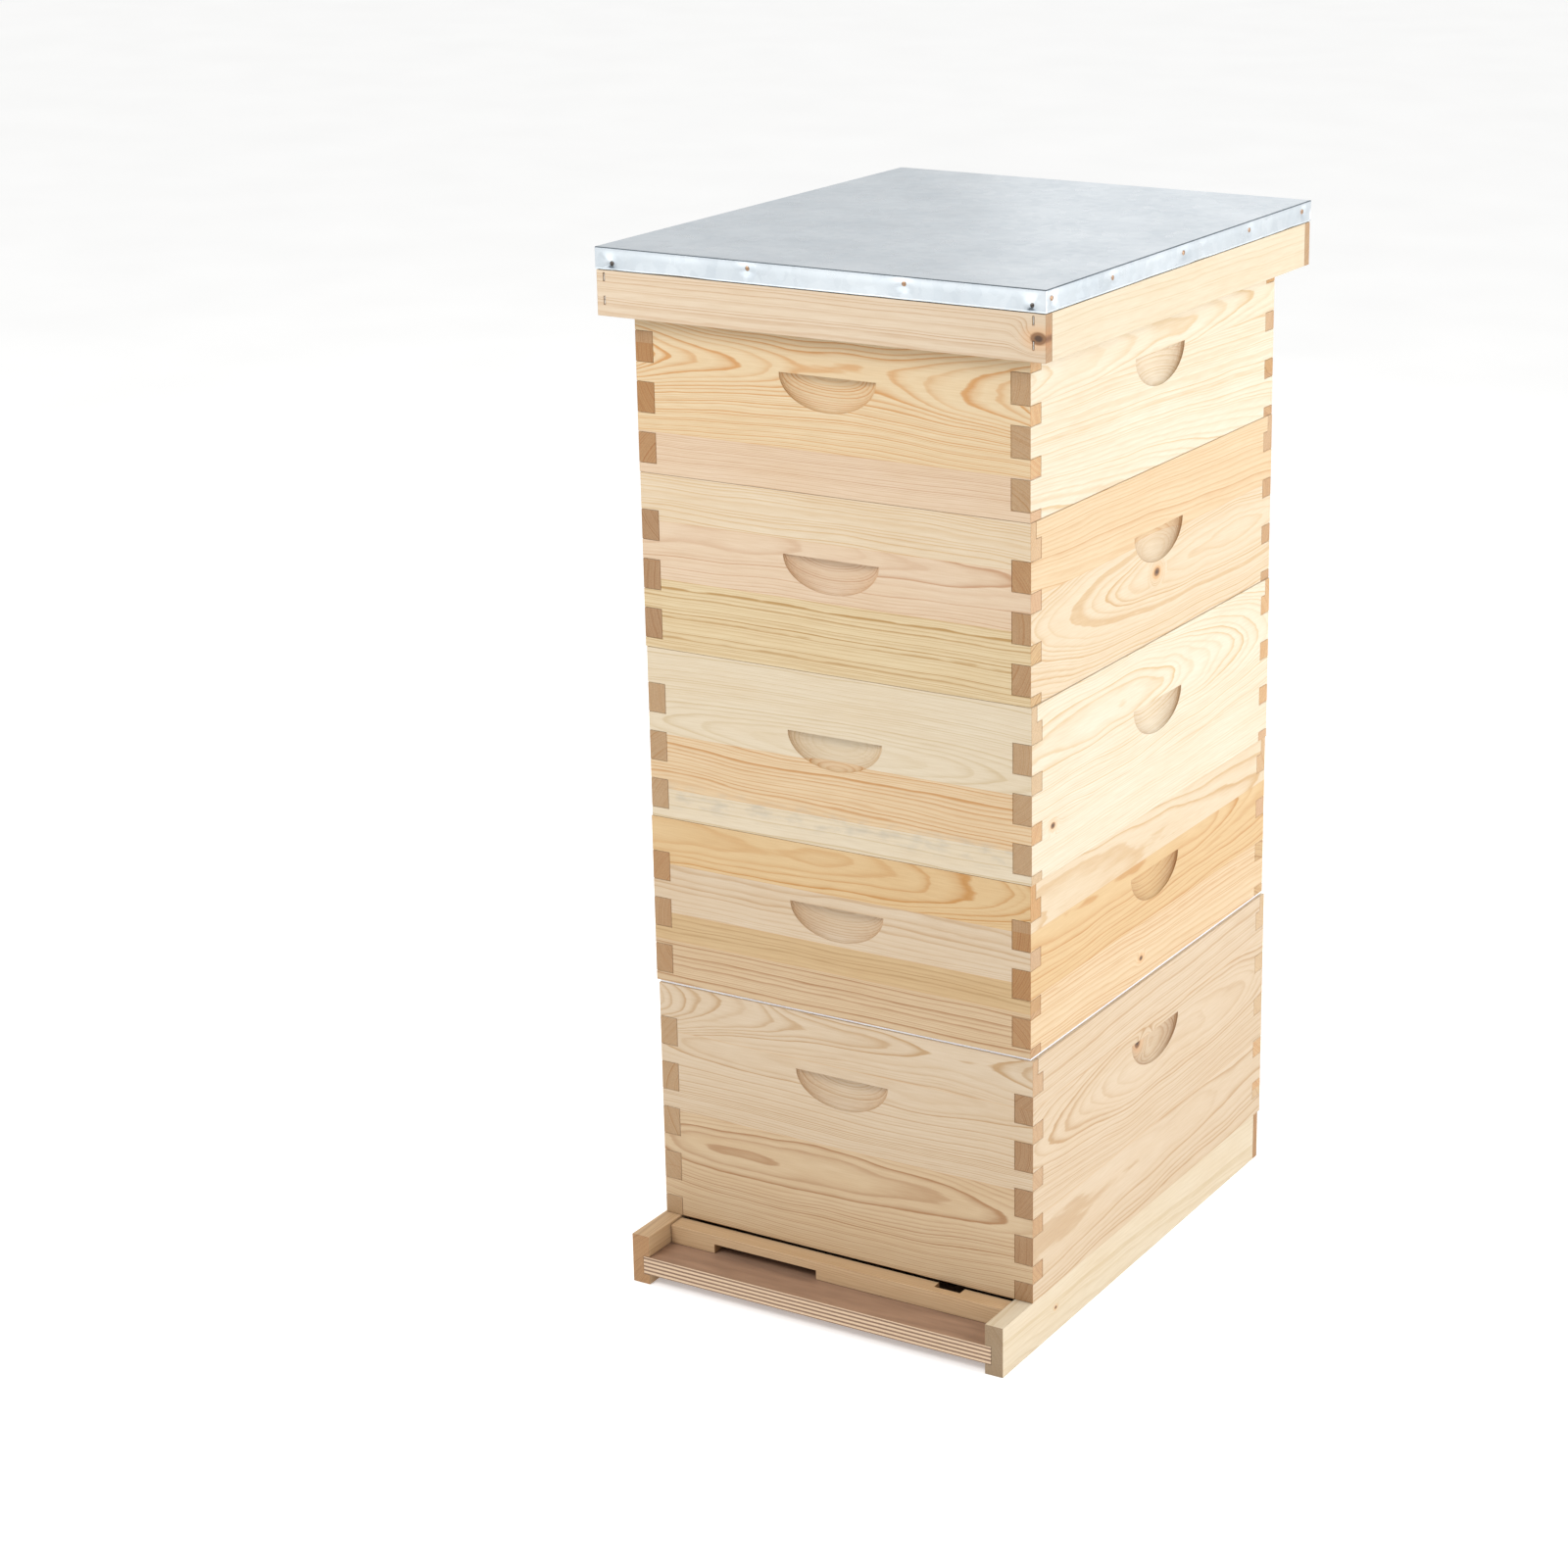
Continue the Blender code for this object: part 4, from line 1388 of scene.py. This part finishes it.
@dataclass
class HangingFrames:
    """Ten wooden frames with foundation, hung from a box's rebates."""

    nodes: tuple[str, ...]
    body: str
    height: float
    count: int = 10
    pitch: float = 34.925 * MM
    lug: float = 9.5 * MM
    span: float = 450.8 * MM
    end_bar: float = 9.5 * MM
    top_bar: tuple[float, float, float] = (27.0 * MM, 482.6 * MM, 19.0 * MM)
    lug_width: float = 22.0 * MM
    low_width: float = 28.6 * MM
    shoulder: float = 75.0 * MM
    bottom_bar: tuple[float, float] = (19.0 * MM, 9.5 * MM)
    sheet: float = 4.4 * MM

    def build(self) -> None:
        """Builds one piece a node: a single frame, or the whole set where the node holds ten."""
        single = self.one_frame()
        for number, node in enumerate(self.nodes):
            low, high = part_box(node)
            seat = high.z - self.lug
            middle = (low.x + high.x) / 2
            y = (low.y + high.y) / 2
            here = range(1) if len(self.nodes) > 1 else range(self.count)
            surface = Surface()
            for index in here:
                across = 0.0 if len(self.nodes) > 1 else (index - (self.count - 1) / 2) * self.pitch
                surface.join(single, (middle + across, y, seat))
            obj = surface.object(f"{node}_bars", self.finishes(seat, number))
            ease_edges(obj, 0.5 * MM)
            smooth_by_angle(obj, 25)
            hang(obj, self.body, [node])

    def finishes(self, seat: float, number: int) -> list[bpy.types.Material]:
        """Pine along the bars, pine up the end bars, and the foundation."""
        place = Place((0.0, 0.0, seat), Side.RIGHT, 0.48, 0.02, 0.02)
        along = (Strip(-900, Tint.CREAM, -60, 40, 0.02, 3.0, 4, 31.0 + number),)
        upright = (Strip(-900, Tint.PALE, -60, 50, 0.02, 3.0, 4, 47.0 + number),)
        names = ("planed pine bars", "planed pine end bars", "embossed beeswax foundation")
        wood = [
            PlanedPine(f"{names[0]} {self.body} {number}", place, along).make(),
            PlanedPine(f"{names[1]} {self.body} {number}", place, upright, upright=True).make(),
        ]
        wax = bpy.data.materials.get(names[2])
        return [*wood, wax or MouldedPlastic(names[2], "#e9cf86", "#d9b968", 5.4).make()]

    def one_frame(self) -> Surface:
        """One frame about its own middle, its lugs resting at height 0.

        The top bar narrows to lugs that lie in slots of the end bars; the end bars narrow below
        their shoulders, and the bottom bar lies in slots at their feet.

        Returns:
            The frame, with finish 0 for the bars, 1 for the end bars and 2 for the foundation.
        """
        width, length, depth = self.top_bar
        inner = self.span / 2 - self.end_bar
        foot = self.lug - self.height
        slack = 0.1 * MM
        surface = Surface()
        half, neck = width / 2, self.lug_width / 2
        x = cut_lines(-half, -neck, neck, half)
        y = cut_lines(-length / 2, -inner + slack, inner - slack, length / 2)
        z = cut_lines(self.lug - depth, 0.0, self.lug)
        mx, my, mz = np.meshgrid(*(middles(line) for line in (x, y, z)), indexing="ij")
        wood = (np.abs(my) < inner) | ((np.abs(mx) < neck) & (mz > 0))
        surface.add(*cell_block((x, y, z), wood), 0)
        base, base_height = self.bottom_bar[0] / 2, self.bottom_bar[1]
        x = cut_lines(-base, base)
        y = cut_lines(-self.span / 2 + slack, self.span / 2 - slack)
        z = cut_lines(foot, foot + base_height)
        surface.add(*cell_block((x, y, z), np.ones((1, 1, 1), bool)), 0)
        low, wide = self.low_width / 2, self.pitch / 2 - GAP / 2
        step = self.lug - MM - self.shoulder
        x = cut_lines(-wide, -low, -neck - slack, -base - slack, base + slack, neck + slack, low, wide)
        z = cut_lines(foot, foot + base_height + slack, step, 0.0, self.lug - MM)
        for sign in (-1, 1):
            y = cut_lines(*sorted((sign * inner, sign * self.span / 2)))
            mx, my, mz = np.meshgrid(*(middles(line) for line in (x, y, z)), indexing="ij")
            wood = (np.abs(mx) < low) | (mz > step)
            wood &= ~((np.abs(mx) < neck) & (mz > 0))
            wood &= ~((np.abs(mx) < base) & (mz < foot + base_height))
            surface.add(*cell_block((x, y, z), wood), 1)
        thin = self.sheet / 2
        x = cut_lines(-thin, thin)
        y = cut_lines(-inner + slack, inner - slack)
        z = cut_lines(foot + base_height + slack, self.lug - depth - slack)
        return surface.add(*cell_block((x, y, z), np.ones((1, 1, 1), bool)), 2)


# --------------------------------------------------------------------------- queen excluder


@dataclass
class QueenExcluder:
    """A thin moulded sheet with rows of slots that only workers pass."""

    node: str = "queen_excluder"
    columns: int = 17
    rows: int = 63
    column_pitch: float = 22.2 * MM
    row_pitch: float = 7.6 * MM
    slot: tuple[float, float] = (20.0 * MM, 4.2 * MM)
    sunk: float = 0.4 * MM
    margin: float = 2.2 * MM

    def build(self) -> None:
        """Moulds the sheet: a grid through every slot's edges, a little thinner where the slots are."""
        low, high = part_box(self.node)
        middle = (low + high) / 2
        x, x_slots = self.stops(low.x, high.x, middle.x, self.columns, self.column_pitch, self.slot[0])
        y, y_slots = self.stops(low.y, high.y, middle.y, self.rows, self.row_pitch, self.slot[1])
        z = np.array([low.z, low.z + self.sunk, high.z - self.sunk, high.z])
        solid = np.ones((len(x) - 1, len(y) - 1, 3), bool)
        solid[1:-1, 1:-1, [0, 2]] = False
        solid[np.ix_(x_slots, y_slots, np.ones(3, bool))] = False
        white = MouldedPlastic("moulded polypropylene", "#f4f5fa", "#eceef5").make()
        obj = Surface().add(*cell_block((x, y, z), solid)).object("queen_excluder_sheet", [white])
        hang(obj, self.node, [self.node])

    def stops(
        self, low: float, high: float, middle: float, count: int, pitch: float, size: float
    ) -> tuple[Array, Array]:
        """Grid lines along one axis: the sheet's edges, the field's edges and both edges of each slot.

        Args:
            low: the sheet's lower edge.
            high: its upper edge.
            middle: the field's middle.
            count: number of slots.
            pitch: their spacing.
            size: a slot's size.

        Returns:
            The lines, and which cells between them are slots.
        """
        starts = middle + (np.arange(count) - (count - 1) / 2) * pitch - size / 2
        edges = np.stack([starts, starts + size], 1).ravel()
        lines = [[low, edges[0] - self.margin], edges, [edges[-1] + self.margin, high]]
        lines = np.concatenate(lines)
        slots = np.zeros(len(lines) - 1, bool)
        slots[2:-2:2] = True
        return lines, slots


# --------------------------------------------------------------------------- outer cover


@dataclass(frozen=True)
class Nail:
    """A nail through the skirt: its side, place along it and depth below the top, in millimetres."""

    side: Side
    along: float
    drop: float
    dent: float = 1.4
    plain: bool = False


@dataclass
class FoldedSheet:
    """The cover's sheet: a flat top, a tight fold and a skirt, dented where it is nailed.

    dent_spread and calm_spread say how far a nail's dent reaches and how far it stills the waves.
    """

    nails: tuple[Nail, ...]
    node: str = "outer_cover_sheet"
    body: str = "outer_cover"
    fold: float = 1.3 * MM
    gauge: float = 0.6 * MM
    lean: float = 0.55 * MM
    flap: float = 17.0 * MM
    fold_steps: int = 5
    skirt_steps: int = 12
    fine: float = 1.3 * MM
    coarse: float = 6.0 * MM
    corner_zone: float = 24.0 * MM
    deepest: float = 3.8 * MM
    skirt: float = 20.0 * MM
    crease: float = 1.0 * MM
    step: float = 1.4 * MM
    dent_spread: float = 4.3 * MM
    calm_spread: float = 15.0 * MM
    wave: float = 0.8 * MM
    hollow: float = 0.5 * MM

    def lines(self, half: float) -> Array:
        """Grid lines over one direction of the flat top, close together near the corners."""
        inner = half - self.corner_zone
        wide = np.linspace(-inner, inner, round(2 * inner / self.coarse) + 1)
        tight = np.linspace(inner, half, round(self.corner_zone / self.fine) + 1)[1:]
        return np.concatenate([-tight[::-1], wide, tight])

    def build(self) -> bpy.types.Object:
        """Folds the sheet.

        A grid of i by j reaches past the flat top by as many steps as fold and skirt have. A point's
        ring is the larger of its two reaches; its way out is square to the side, or turns evenly
        through the quarter circle of the corner. Each ring has one way out and one way down.

        Returns:
            The finished sheet.
        """
        low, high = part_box(self.node)
        middle = (low + high) / 2
        half_x, half_y = (high.x - low.x) / 2 - self.fold, (high.y - low.y) / 2 - self.fold
        x, y = self.lines(half_x), self.lines(half_y)
        rings = self.fold_steps + self.skirt_steps
        counts = (np.arange(-rings, len(line) + rings) for line in (x, y))
        i, j = np.meshgrid(*counts, indexing="ij")
        over_x = np.maximum(i - len(x) + 1, 0) - np.maximum(-i, 0)
        over_y = np.maximum(j - len(y) + 1, 0) - np.maximum(-j, 0)
        ring = np.maximum(np.abs(over_x), np.abs(over_y))
        share = np.minimum(np.abs(over_x), np.abs(over_y)) / np.maximum(ring, 1)
        angle = share * math.pi / 4
        angle = np.where(np.abs(over_x) >= np.abs(over_y), angle, math.pi / 2 - angle)
        out_x = np.cos(angle) * np.sign(over_x)
        out_y = np.sin(angle) * np.sign(over_y)
        out, drop = self.profile(high.z - low.z)
        base_x = x[np.clip(i, 0, len(x) - 1)]
        base_y = y[np.clip(j, 0, len(y) - 1)]
        reach, fall = out[ring], drop[ring]
        half = (half_x + self.fold, half_y + self.fold)
        inward = self.inward(base_x, base_y, out_x, out_y, fall, half)
        bulge = self.oil_can(base_x / half_x, base_y / half_y) * (ring == 0)
        points = np.stack(
            [
                middle.x + base_x + out_x * (reach - inward),
                middle.y + base_y + out_y * (reach - inward),
                high.z - fall - bulge,
            ],
            -1,
        ).reshape(-1, 3)
        faces = grid_faces(*i.shape)[:, ::-1]
        zinc = GalvanisedSheet().make()
        obj = Surface().add(points, faces).object("outer_cover_folded_sheet", [zinc])
        shell = obj.modifiers.new("gauge", "SOLIDIFY")
        shell.thickness = self.gauge
        shell.offset = -1.0
        obj.data.shade_smooth()
        return hang(obj, self.body, [self.node])

    def profile(self, height: float) -> tuple[Array, Array]:
        """How far out and down each ring lies: a quarter circle for the fold, then straight down.

        Args:
            height: from the skirt's edge to the top.

        Returns:
            The two arrays, one value a ring, starting with the flat top's edge.
        """
        turn = np.linspace(0, math.pi / 2, self.fold_steps + 1)
        down = np.linspace(self.fold, height, self.skirt_steps + 1)[1:]
        out = np.concatenate([np.sin(turn) * self.fold, np.full(self.skirt_steps, self.fold)])
        return out, np.concatenate([(1 - np.cos(turn)) * self.fold, down])

    def inward(
        self, x: Array, y: Array, out_x: Array, out_y: Array, fall: Array, half: Span
    ) -> Array:
        """How far the skirt is pressed in at each point.

        It sums a lean that grows down the skirt, slow waves that die out at the nails, and a
        bell-shaped dent round each nail. On the front and back the three-cornered flap folded round
        from the side lies on top, so the lean stops short at its slanting edge.

        Args:
            x: place along the front and back.
            y: place along the sides.
            out_x: the way out, its X part.
            out_y: its Y part.
            fall: depth below the top.
            half: half sizes of the sheet.

        Returns:
            Metres inward.
        """
        deep = np.clip((fall - self.fold) / self.skirt, 0, 1)
        ends = np.abs(out_y) > 0.7
        along = np.where(ends, x, y)
        reach = np.where(ends, half[0], half[1]) - np.abs(along)
        edge = reach - self.flap * fall / self.skirt - self.crease
        laid = np.where(ends, np.clip(edge / self.step, 0, 1), 1.0)
        total = self.lean * np.clip(deep * 3, 0, 1) * laid
        loose = np.sin(along * 24 + out_x * 2 + out_y) + 0.6 * np.sin(along * 57 + out_y * 3)
        loose = np.maximum(loose, 0)
        for nail in self.nails:
            turn = math.radians(nail.side.value)
            here = out_x * math.sin(turn) - out_y * math.cos(turn) > 0.9
            way = (x * math.cos(turn) + y * math.sin(turn) - nail.along * MM) ** 2
            away = way + (fall - nail.drop * MM) ** 2
            total += here * nail.dent * MM * np.exp(-away / (2 * self.dent_spread**2))
            loose = loose * (1 - here * np.exp(-way / (2 * self.calm_spread**2)))
        total = np.minimum(total + deep * self.wave * loose, self.deepest)
        return total * np.clip((fall - 0.5 * self.fold) / (3 * MM), 0, 1)

    def oil_can(self, x: Array, y: Array) -> Array:
        """Shallow hollows of the flat top: a product of slow waves that dies out at the edges."""
        rim = np.clip((1 - np.abs(x)) * 8, 0, 1) * np.clip((1 - np.abs(y)) * 8, 0, 1)
        wave = 0.5 + 0.25 * np.sin(3.1 * x + 1.2 * y + 0.6) + 0.25 * np.sin(4.7 * y - 2.1 * x)
        return rim * self.hollow * wave


@dataclass
class OuterCover:
    """The telescoping cover: deck, rim boards with staples, folded sheet and its nails."""

    body: str = "outer_cover"
    width: float = 464.2
    thickness: float = 19.05
    lip: float = 11.0
    staple_heights: Span = (14.5, 36.0)
    staple_ends: Span = (-224.0, 220.0)
    crown: float = 6.4
    wire: float = 0.6
    pocket: Span = (0.9, 1.3)
    nail_head: Span = (2.5 * MM, 0.85 * MM)

    def build(self) -> None:
        """Builds every piece of the cover."""
        nails = self.nail_list()
        FoldedSheet(nails).build()
        self.rims()
        self.deck()
        self.drive_nails(nails)
        self.drive_staples()

    def nail_list(self) -> tuple[Nail, ...]:
        """Four nails in each end, plain and deep at the corners, and five in each side."""
        front = (
            (-216.0, 15.0, True),
            (-69.0, 7.0, False),
            (92.0, 7.0, False),
            (218.0, 15.0, True),
        )
        right = ((-262.1, 9.0), (-149.0, 9.5), (-7.2, 9.0), (134.1, 9.0), (256.1, 9.0))
        nails = [
            Nail(side, along, drop, 3.0 if plain else 2.0, plain)
            for side in (Side.FRONT, Side.BACK)
            for along, drop, plain in front
        ]
        nails += [Nail(side, along, drop) for side in (Side.RIGHT, Side.LEFT) for along, drop in right]
        return tuple(nails)

    def rims(self) -> None:
        """Saws the four rim boards; the end ones lap over the side ones and hold the staples."""
        slot, deep = self.pocket
        reach = self.crown / 2 + slot
        pockets = [
            Cut(u=(u - slot, u + slot), w=(-1, deep), v=(v - reach, v + reach))
            for u in self.staple_ends
            for v in self.staple_heights
        ]
        steps = stepped_ends(self.width, self.thickness, self.lip)
        grain = {
            Side.FRONT: (Strip(-10, Tint.BLUSH, -50, 60, 0.004, 3.6, 1.5, 6.4, 0, 0, 1.0),),
            Side.BACK: (Strip(-10, Tint.BLUSH, 90, 60, 0.01, 3.2, 2, 26.4),),
            Side.RIGHT: (Strip(-10, Tint.PALE, -60, 90, 0.01, 4.2, 2, 16.1, 0, 0, 0.6),),
            Side.LEFT: (Strip(-10, Tint.PALE, 90, 70, 0.01, 3.8, 2, 36.1, 0, 0, 0.6),),
        }
        for side, strips in grain.items():
            ends = side in (Side.FRONT, Side.BACK)
            cuts = (*steps, *pockets) if ends else ()
            knots = (Knot(225.0, 21.0, 5.6),) if side is Side.FRONT else ()
            name = f"outer_cover_rim_{side.name.lower()}"
            Bar(name, side, self.body, strips, cuts, knots, ease=0.4).build()

    def deck(self) -> None:
        """Makes the deck a little smaller than the sheet's dents reach."""
        low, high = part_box("outer_cover_deck")
        room, sink = FoldedSheet.deepest, FoldedSheet.gauge
        patch = brick((low.x + room, low.y + room, low.z), (high.x - room, high.y - room, high.z - sink))
        board = FacedPlywood("birch plywood deck", low.z, high.z - low.z, "#d0b48d", "#c2a47d", 9).make()
        obj = Surface().add(*patch).object("outer_cover_deck_board", [board])
        hang(obj, self.body, ["outer_cover_deck"])

    def drive_nails(self, nails: tuple[Nail, ...]) -> None:
        """Makes the nail heads: each a shallow dome turned about the line it was driven along."""
        turn = np.linspace(0, math.pi / 2, 4)
        radius, rise = self.nail_head
        profile = np.stack([np.cos(turn) * radius, np.sin(turn) * rise], 1)
        profile = np.concatenate([[[radius * 0.9, -0.8 * MM]], profile])
        points, faces = turned_dome(profile, 14)
        surface = Surface()
        low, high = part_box("outer_cover_sheet")
        for nail in nails:
            place = Place.of("outer_cover_sheet", nail.side)
            tilt = np.array([nail.along * MM, (nail.dent + 0.25) * MM, high.z - low.z - nail.drop * MM])
            surface.add(place.world(points + tilt), faces, int(nail.plain))
        washed = FastenerMetal("copper-washed steel nail", "#bd9a7c", "#6a564a").make()
        plain = FastenerMetal("plain steel nail", "#6b6560", "#37322f").make()
        obj = surface.object("outer_cover_nails", [washed, plain])
        smooth_by_angle(obj, 50)
        hang(obj, self.body, [])

    def drive_staples(self) -> None:
        """Bends the staples: a wire carried down one leg, along the crown and up the other leg."""
        half, leg, sunk = self.crown / 2, 2.5, 0.75
        bend = np.linspace(0, math.pi / 2, 4)
        arc = np.stack([sunk + 0.5 - 0.5 * np.sin(bend), half - 0.5 + 0.5 * np.cos(bend)], 1)
        upper = np.concatenate([[[leg, half]], arc])
        path = np.concatenate([upper, (upper * [1, -1])[::-1]])
        points, faces = swept_wire(path * MM, self.wire * MM, 8)
        surface = Surface()
        for side in (Side.FRONT, Side.BACK):
            place = Place.of(f"outer_cover_rim_{side.name.lower()}", side)
            for u in self.staple_ends:
                for v in self.staple_heights:
                    surface.add(place.world(points + np.array([u * MM, 0, v * MM])), faces)
        zinc = FastenerMetal("zinc-plated staple wire", "#e9e6df", "#8f8a82").make()
        obj = surface.object("outer_cover_staples", [zinc])
        smooth_by_angle(obj, 50)
        hang(obj, self.body, [])


def tube_faces(rings: int, sides: int) -> Array:
    """The side of a tube of rings, and a fan of triangles over its last and over its first ring.

    Args:
        rings: number of rings, whose points come first, ring by ring.
        sides: points in a ring.

    Returns:
        Faces that use one more point in the middle of the last ring, then one in the first.
    """
    around = np.arange(sides)
    after = (around + 1) % sides
    last, count = (rings - 1) * sides, rings * sides
    end = np.stack([last + around, last + after, np.full(sides, count), np.full(sides, count)], 1)
    start = np.stack([after, around, np.full(sides, count + 1), np.full(sides, count + 1)], 1)
    return np.concatenate([grid_faces(rings, sides, closed_columns=True), end, start])


def turned_dome(profile: Array, sides: int) -> tuple[Array, Array]:
    """A profile turned about the w axis, closed by a point at its tip and one at its foot.

    Args:
        profile: (n, 2) radius and height outwards, from the foot to the tip, whose radius is 0.
        sides: number of steps round.

    Returns:
        Points as (u, w, v) and faces.
    """
    body = profile[:-1]
    turn = np.arange(sides) * 2 * math.pi / sides
    ring = np.stack([np.cos(turn), np.zeros(sides), np.sin(turn)], 1)
    rings = body[:, None, :1] * ring + np.array([0, -1, 0]) * body[:, None, 1:]
    tip = np.array([[0, -profile[-1, 1], 0], [0, -profile[0, 1], 0]])
    return np.concatenate([rings.reshape(-1, 3), tip]), tube_faces(len(body), sides)


def swept_wire(path: Array, radius: float, sides: int) -> tuple[Array, Array]:
    """A round wire carried along a path in the w and v plane, with flat ends.

    At each point the circle stands on the u axis and on the path's tangent turned a quarter.

    Args:
        path: (n, 2) places as w and v.
        radius: the wire's radius.
        sides: points round the wire.

    Returns:
        Points as (u, w, v) and faces.
    """
    tangent = np.gradient(path, axis=0)
    tangent /= np.linalg.norm(tangent, axis=1, keepdims=True)
    normal = np.stack([-tangent[:, 1], tangent[:, 0]], 1)
    turn = np.arange(sides) * 2 * math.pi / sides
    u = np.broadcast_to(np.cos(turn) * radius, (len(path), sides))
    w = path[:, :1] + normal[:, :1] * np.sin(turn) * radius
    v = path[:, 1:] + normal[:, 1:] * np.sin(turn) * radius
    points = np.stack([u, w, v], -1).reshape(-1, 3)
    ends = np.array([[0, *path[-1]], [0, *path[0]]])
    return np.concatenate([points, ends]), tube_faces(len(path), sides)[:, ::-1]


# --------------------------------------------------------------------------- stage


@dataclass(frozen=True)
class Studio:
    """The camera, a pale floor and soft lights."""

    eye: tuple[float, float, float] = (1.5929, -2.8011, 1.5464)
    azimuth: float = 29.156
    elevation: float = 17.096
    roll: float = -0.185
    lens: float = 79.1
    shift: Span = (-0.1296, -0.0578)
    sky: float = 0.72
    glow: float = 0.28
    floor_reach: float = 12.0
    panels: tuple[tuple, ...] = (
        ("key", (2.4, 0.4, 1.45), (0, 0, 0.75), 1.9, 50.0),
        ("front", (-0.9, -1.8, 2.1), (0, -0.1, 0.8), 1.0, 34.0),
        ("back", (0.4, 3.0, 2.2), (0, 0, 0.9), 1.6, 24.0),
        ("mirror", (-0.9, 3.1, 1.7), (0, 0, 1.0), 1.4, 1.6),
    )

    def build(self) -> None:
        """Makes the whole stage."""
        self.camera()
        self.floor()
        self.lights()

    def camera(self) -> None:
        """Aims the camera by its azimuth and elevation and rolls it a little."""
        data = bpy.data.cameras.new("camera")
        data.sensor_width = 36.0
        data.lens = self.lens
        data.shift_x, data.shift_y = self.shift
        data.clip_end = 50.0
        obj = bpy.data.objects.new("camera", data)
        obj.location = self.eye
        obj.rotation_mode = "XYZ"
        azimuth, elevation = math.radians(self.azimuth), math.radians(self.elevation)
        flat = math.cos(elevation)
        back = (math.sin(azimuth) * flat, -math.cos(azimuth) * flat, math.sin(elevation))
        aim = (-Vector(back)).to_track_quat("-Z", "Y").to_matrix().to_4x4()
        turned = aim @ Matrix.Rotation(math.radians(self.roll), 4, "Z")
        obj.rotation_euler = turned.to_euler()
        bpy.context.scene.collection.objects.link(obj)
        bpy.context.scene.camera = obj

    def floor(self) -> None:
        """Lays a wide pale floor."""
        material, tree, shader = new_material("matt white studio floor")
        where = add_node(tree, "TexCoord", out="Object")
        dust = add_node(tree, "TexNoise", {"Vector": where, "Scale": 3.0, "Detail": 2.0})
        paint = add_node(tree, "ValToRGB", {0: dust})
        set_stops(paint, [(0.3, colour("#f4f4f3")), (0.7, colour("#f8f8f7"))])
        tree.links.new(paint, shader.inputs["Base Color"])
        shader.inputs["Roughness"].default_value = 0.9
        shader.inputs["Emission Color"].default_value = (1.0, 1.0, 1.0, 1.0)
        shader.inputs["Emission Strength"].default_value = self.glow
        corners = np.array([[-1, -1, 0], [1, -1, 0], [1, 1, 0], [-1, 1, 0]]) * self.floor_reach
        floor = Surface().add(corners, np.array([[0, 1, 2, 3]])).object("floor", [material])

    def lights(self) -> None:
        """Sets a white sky, a broad key from the right and weaker panels in front and behind.

        The dim panel called mirror is there to shine in the metal top.
        """
        scene = bpy.context.scene
        scene.view_settings.view_transform = "Standard"
        world = bpy.data.worlds.new("white sky")
        world.use_nodes = True
        scene.world = world
        sky = world.node_tree.nodes["Background"]
        sky.inputs["Color"].default_value = (1.0, 1.0, 1.0, 1.0)
        sky.inputs["Strength"].default_value = self.sky
        for panel in self.panels:
            self.hang_panel(*panel)

    def hang_panel(self, name: str, place: tuple, aim: tuple, size: float, power: float) -> None:
        """Adds a square area light.

        Args:
            name: the light's name.
            place: where it stands.
            aim: what it points at.
            size: its side.
            power: its watts.
        """
        data = bpy.data.lights.new(name, "AREA")
        data.size = size
        data.energy = power
        obj = bpy.data.objects.new(name, data)
        obj.location = place
        obj.rotation_euler = (Vector(aim) - Vector(place)).to_track_quat("-Z", "Y").to_euler()
        bpy.context.scene.collection.objects.link(obj)


def frame_nodes(box: str) -> tuple[str, ...]:
    """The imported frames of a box: ten nodes, or the one node that holds all ten."""
    single = tuple(f"{box}_frame_{number:02d}" for number in range(1, 11))
    return single if single[0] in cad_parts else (f"{box}_frame_set",)


def main() -> None:
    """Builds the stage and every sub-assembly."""
    logging.basicConfig(level=logging.INFO, format="%(name)s: %(message)s")
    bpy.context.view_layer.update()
    Studio().build()
    BottomBoard().build()
    Hive().build()
    for box in ("brood", "super_1", "super_2", "super_3", "super_4"):
        height = DEEP_FRAME if box == "brood" else MEDIUM_FRAME
        HangingFrames(frame_nodes(box), f"{box}_frames", height).build()
    QueenExcluder().build()
    InnerCover().build()
    OuterCover().build()


if __name__ == "__main__":
    main()
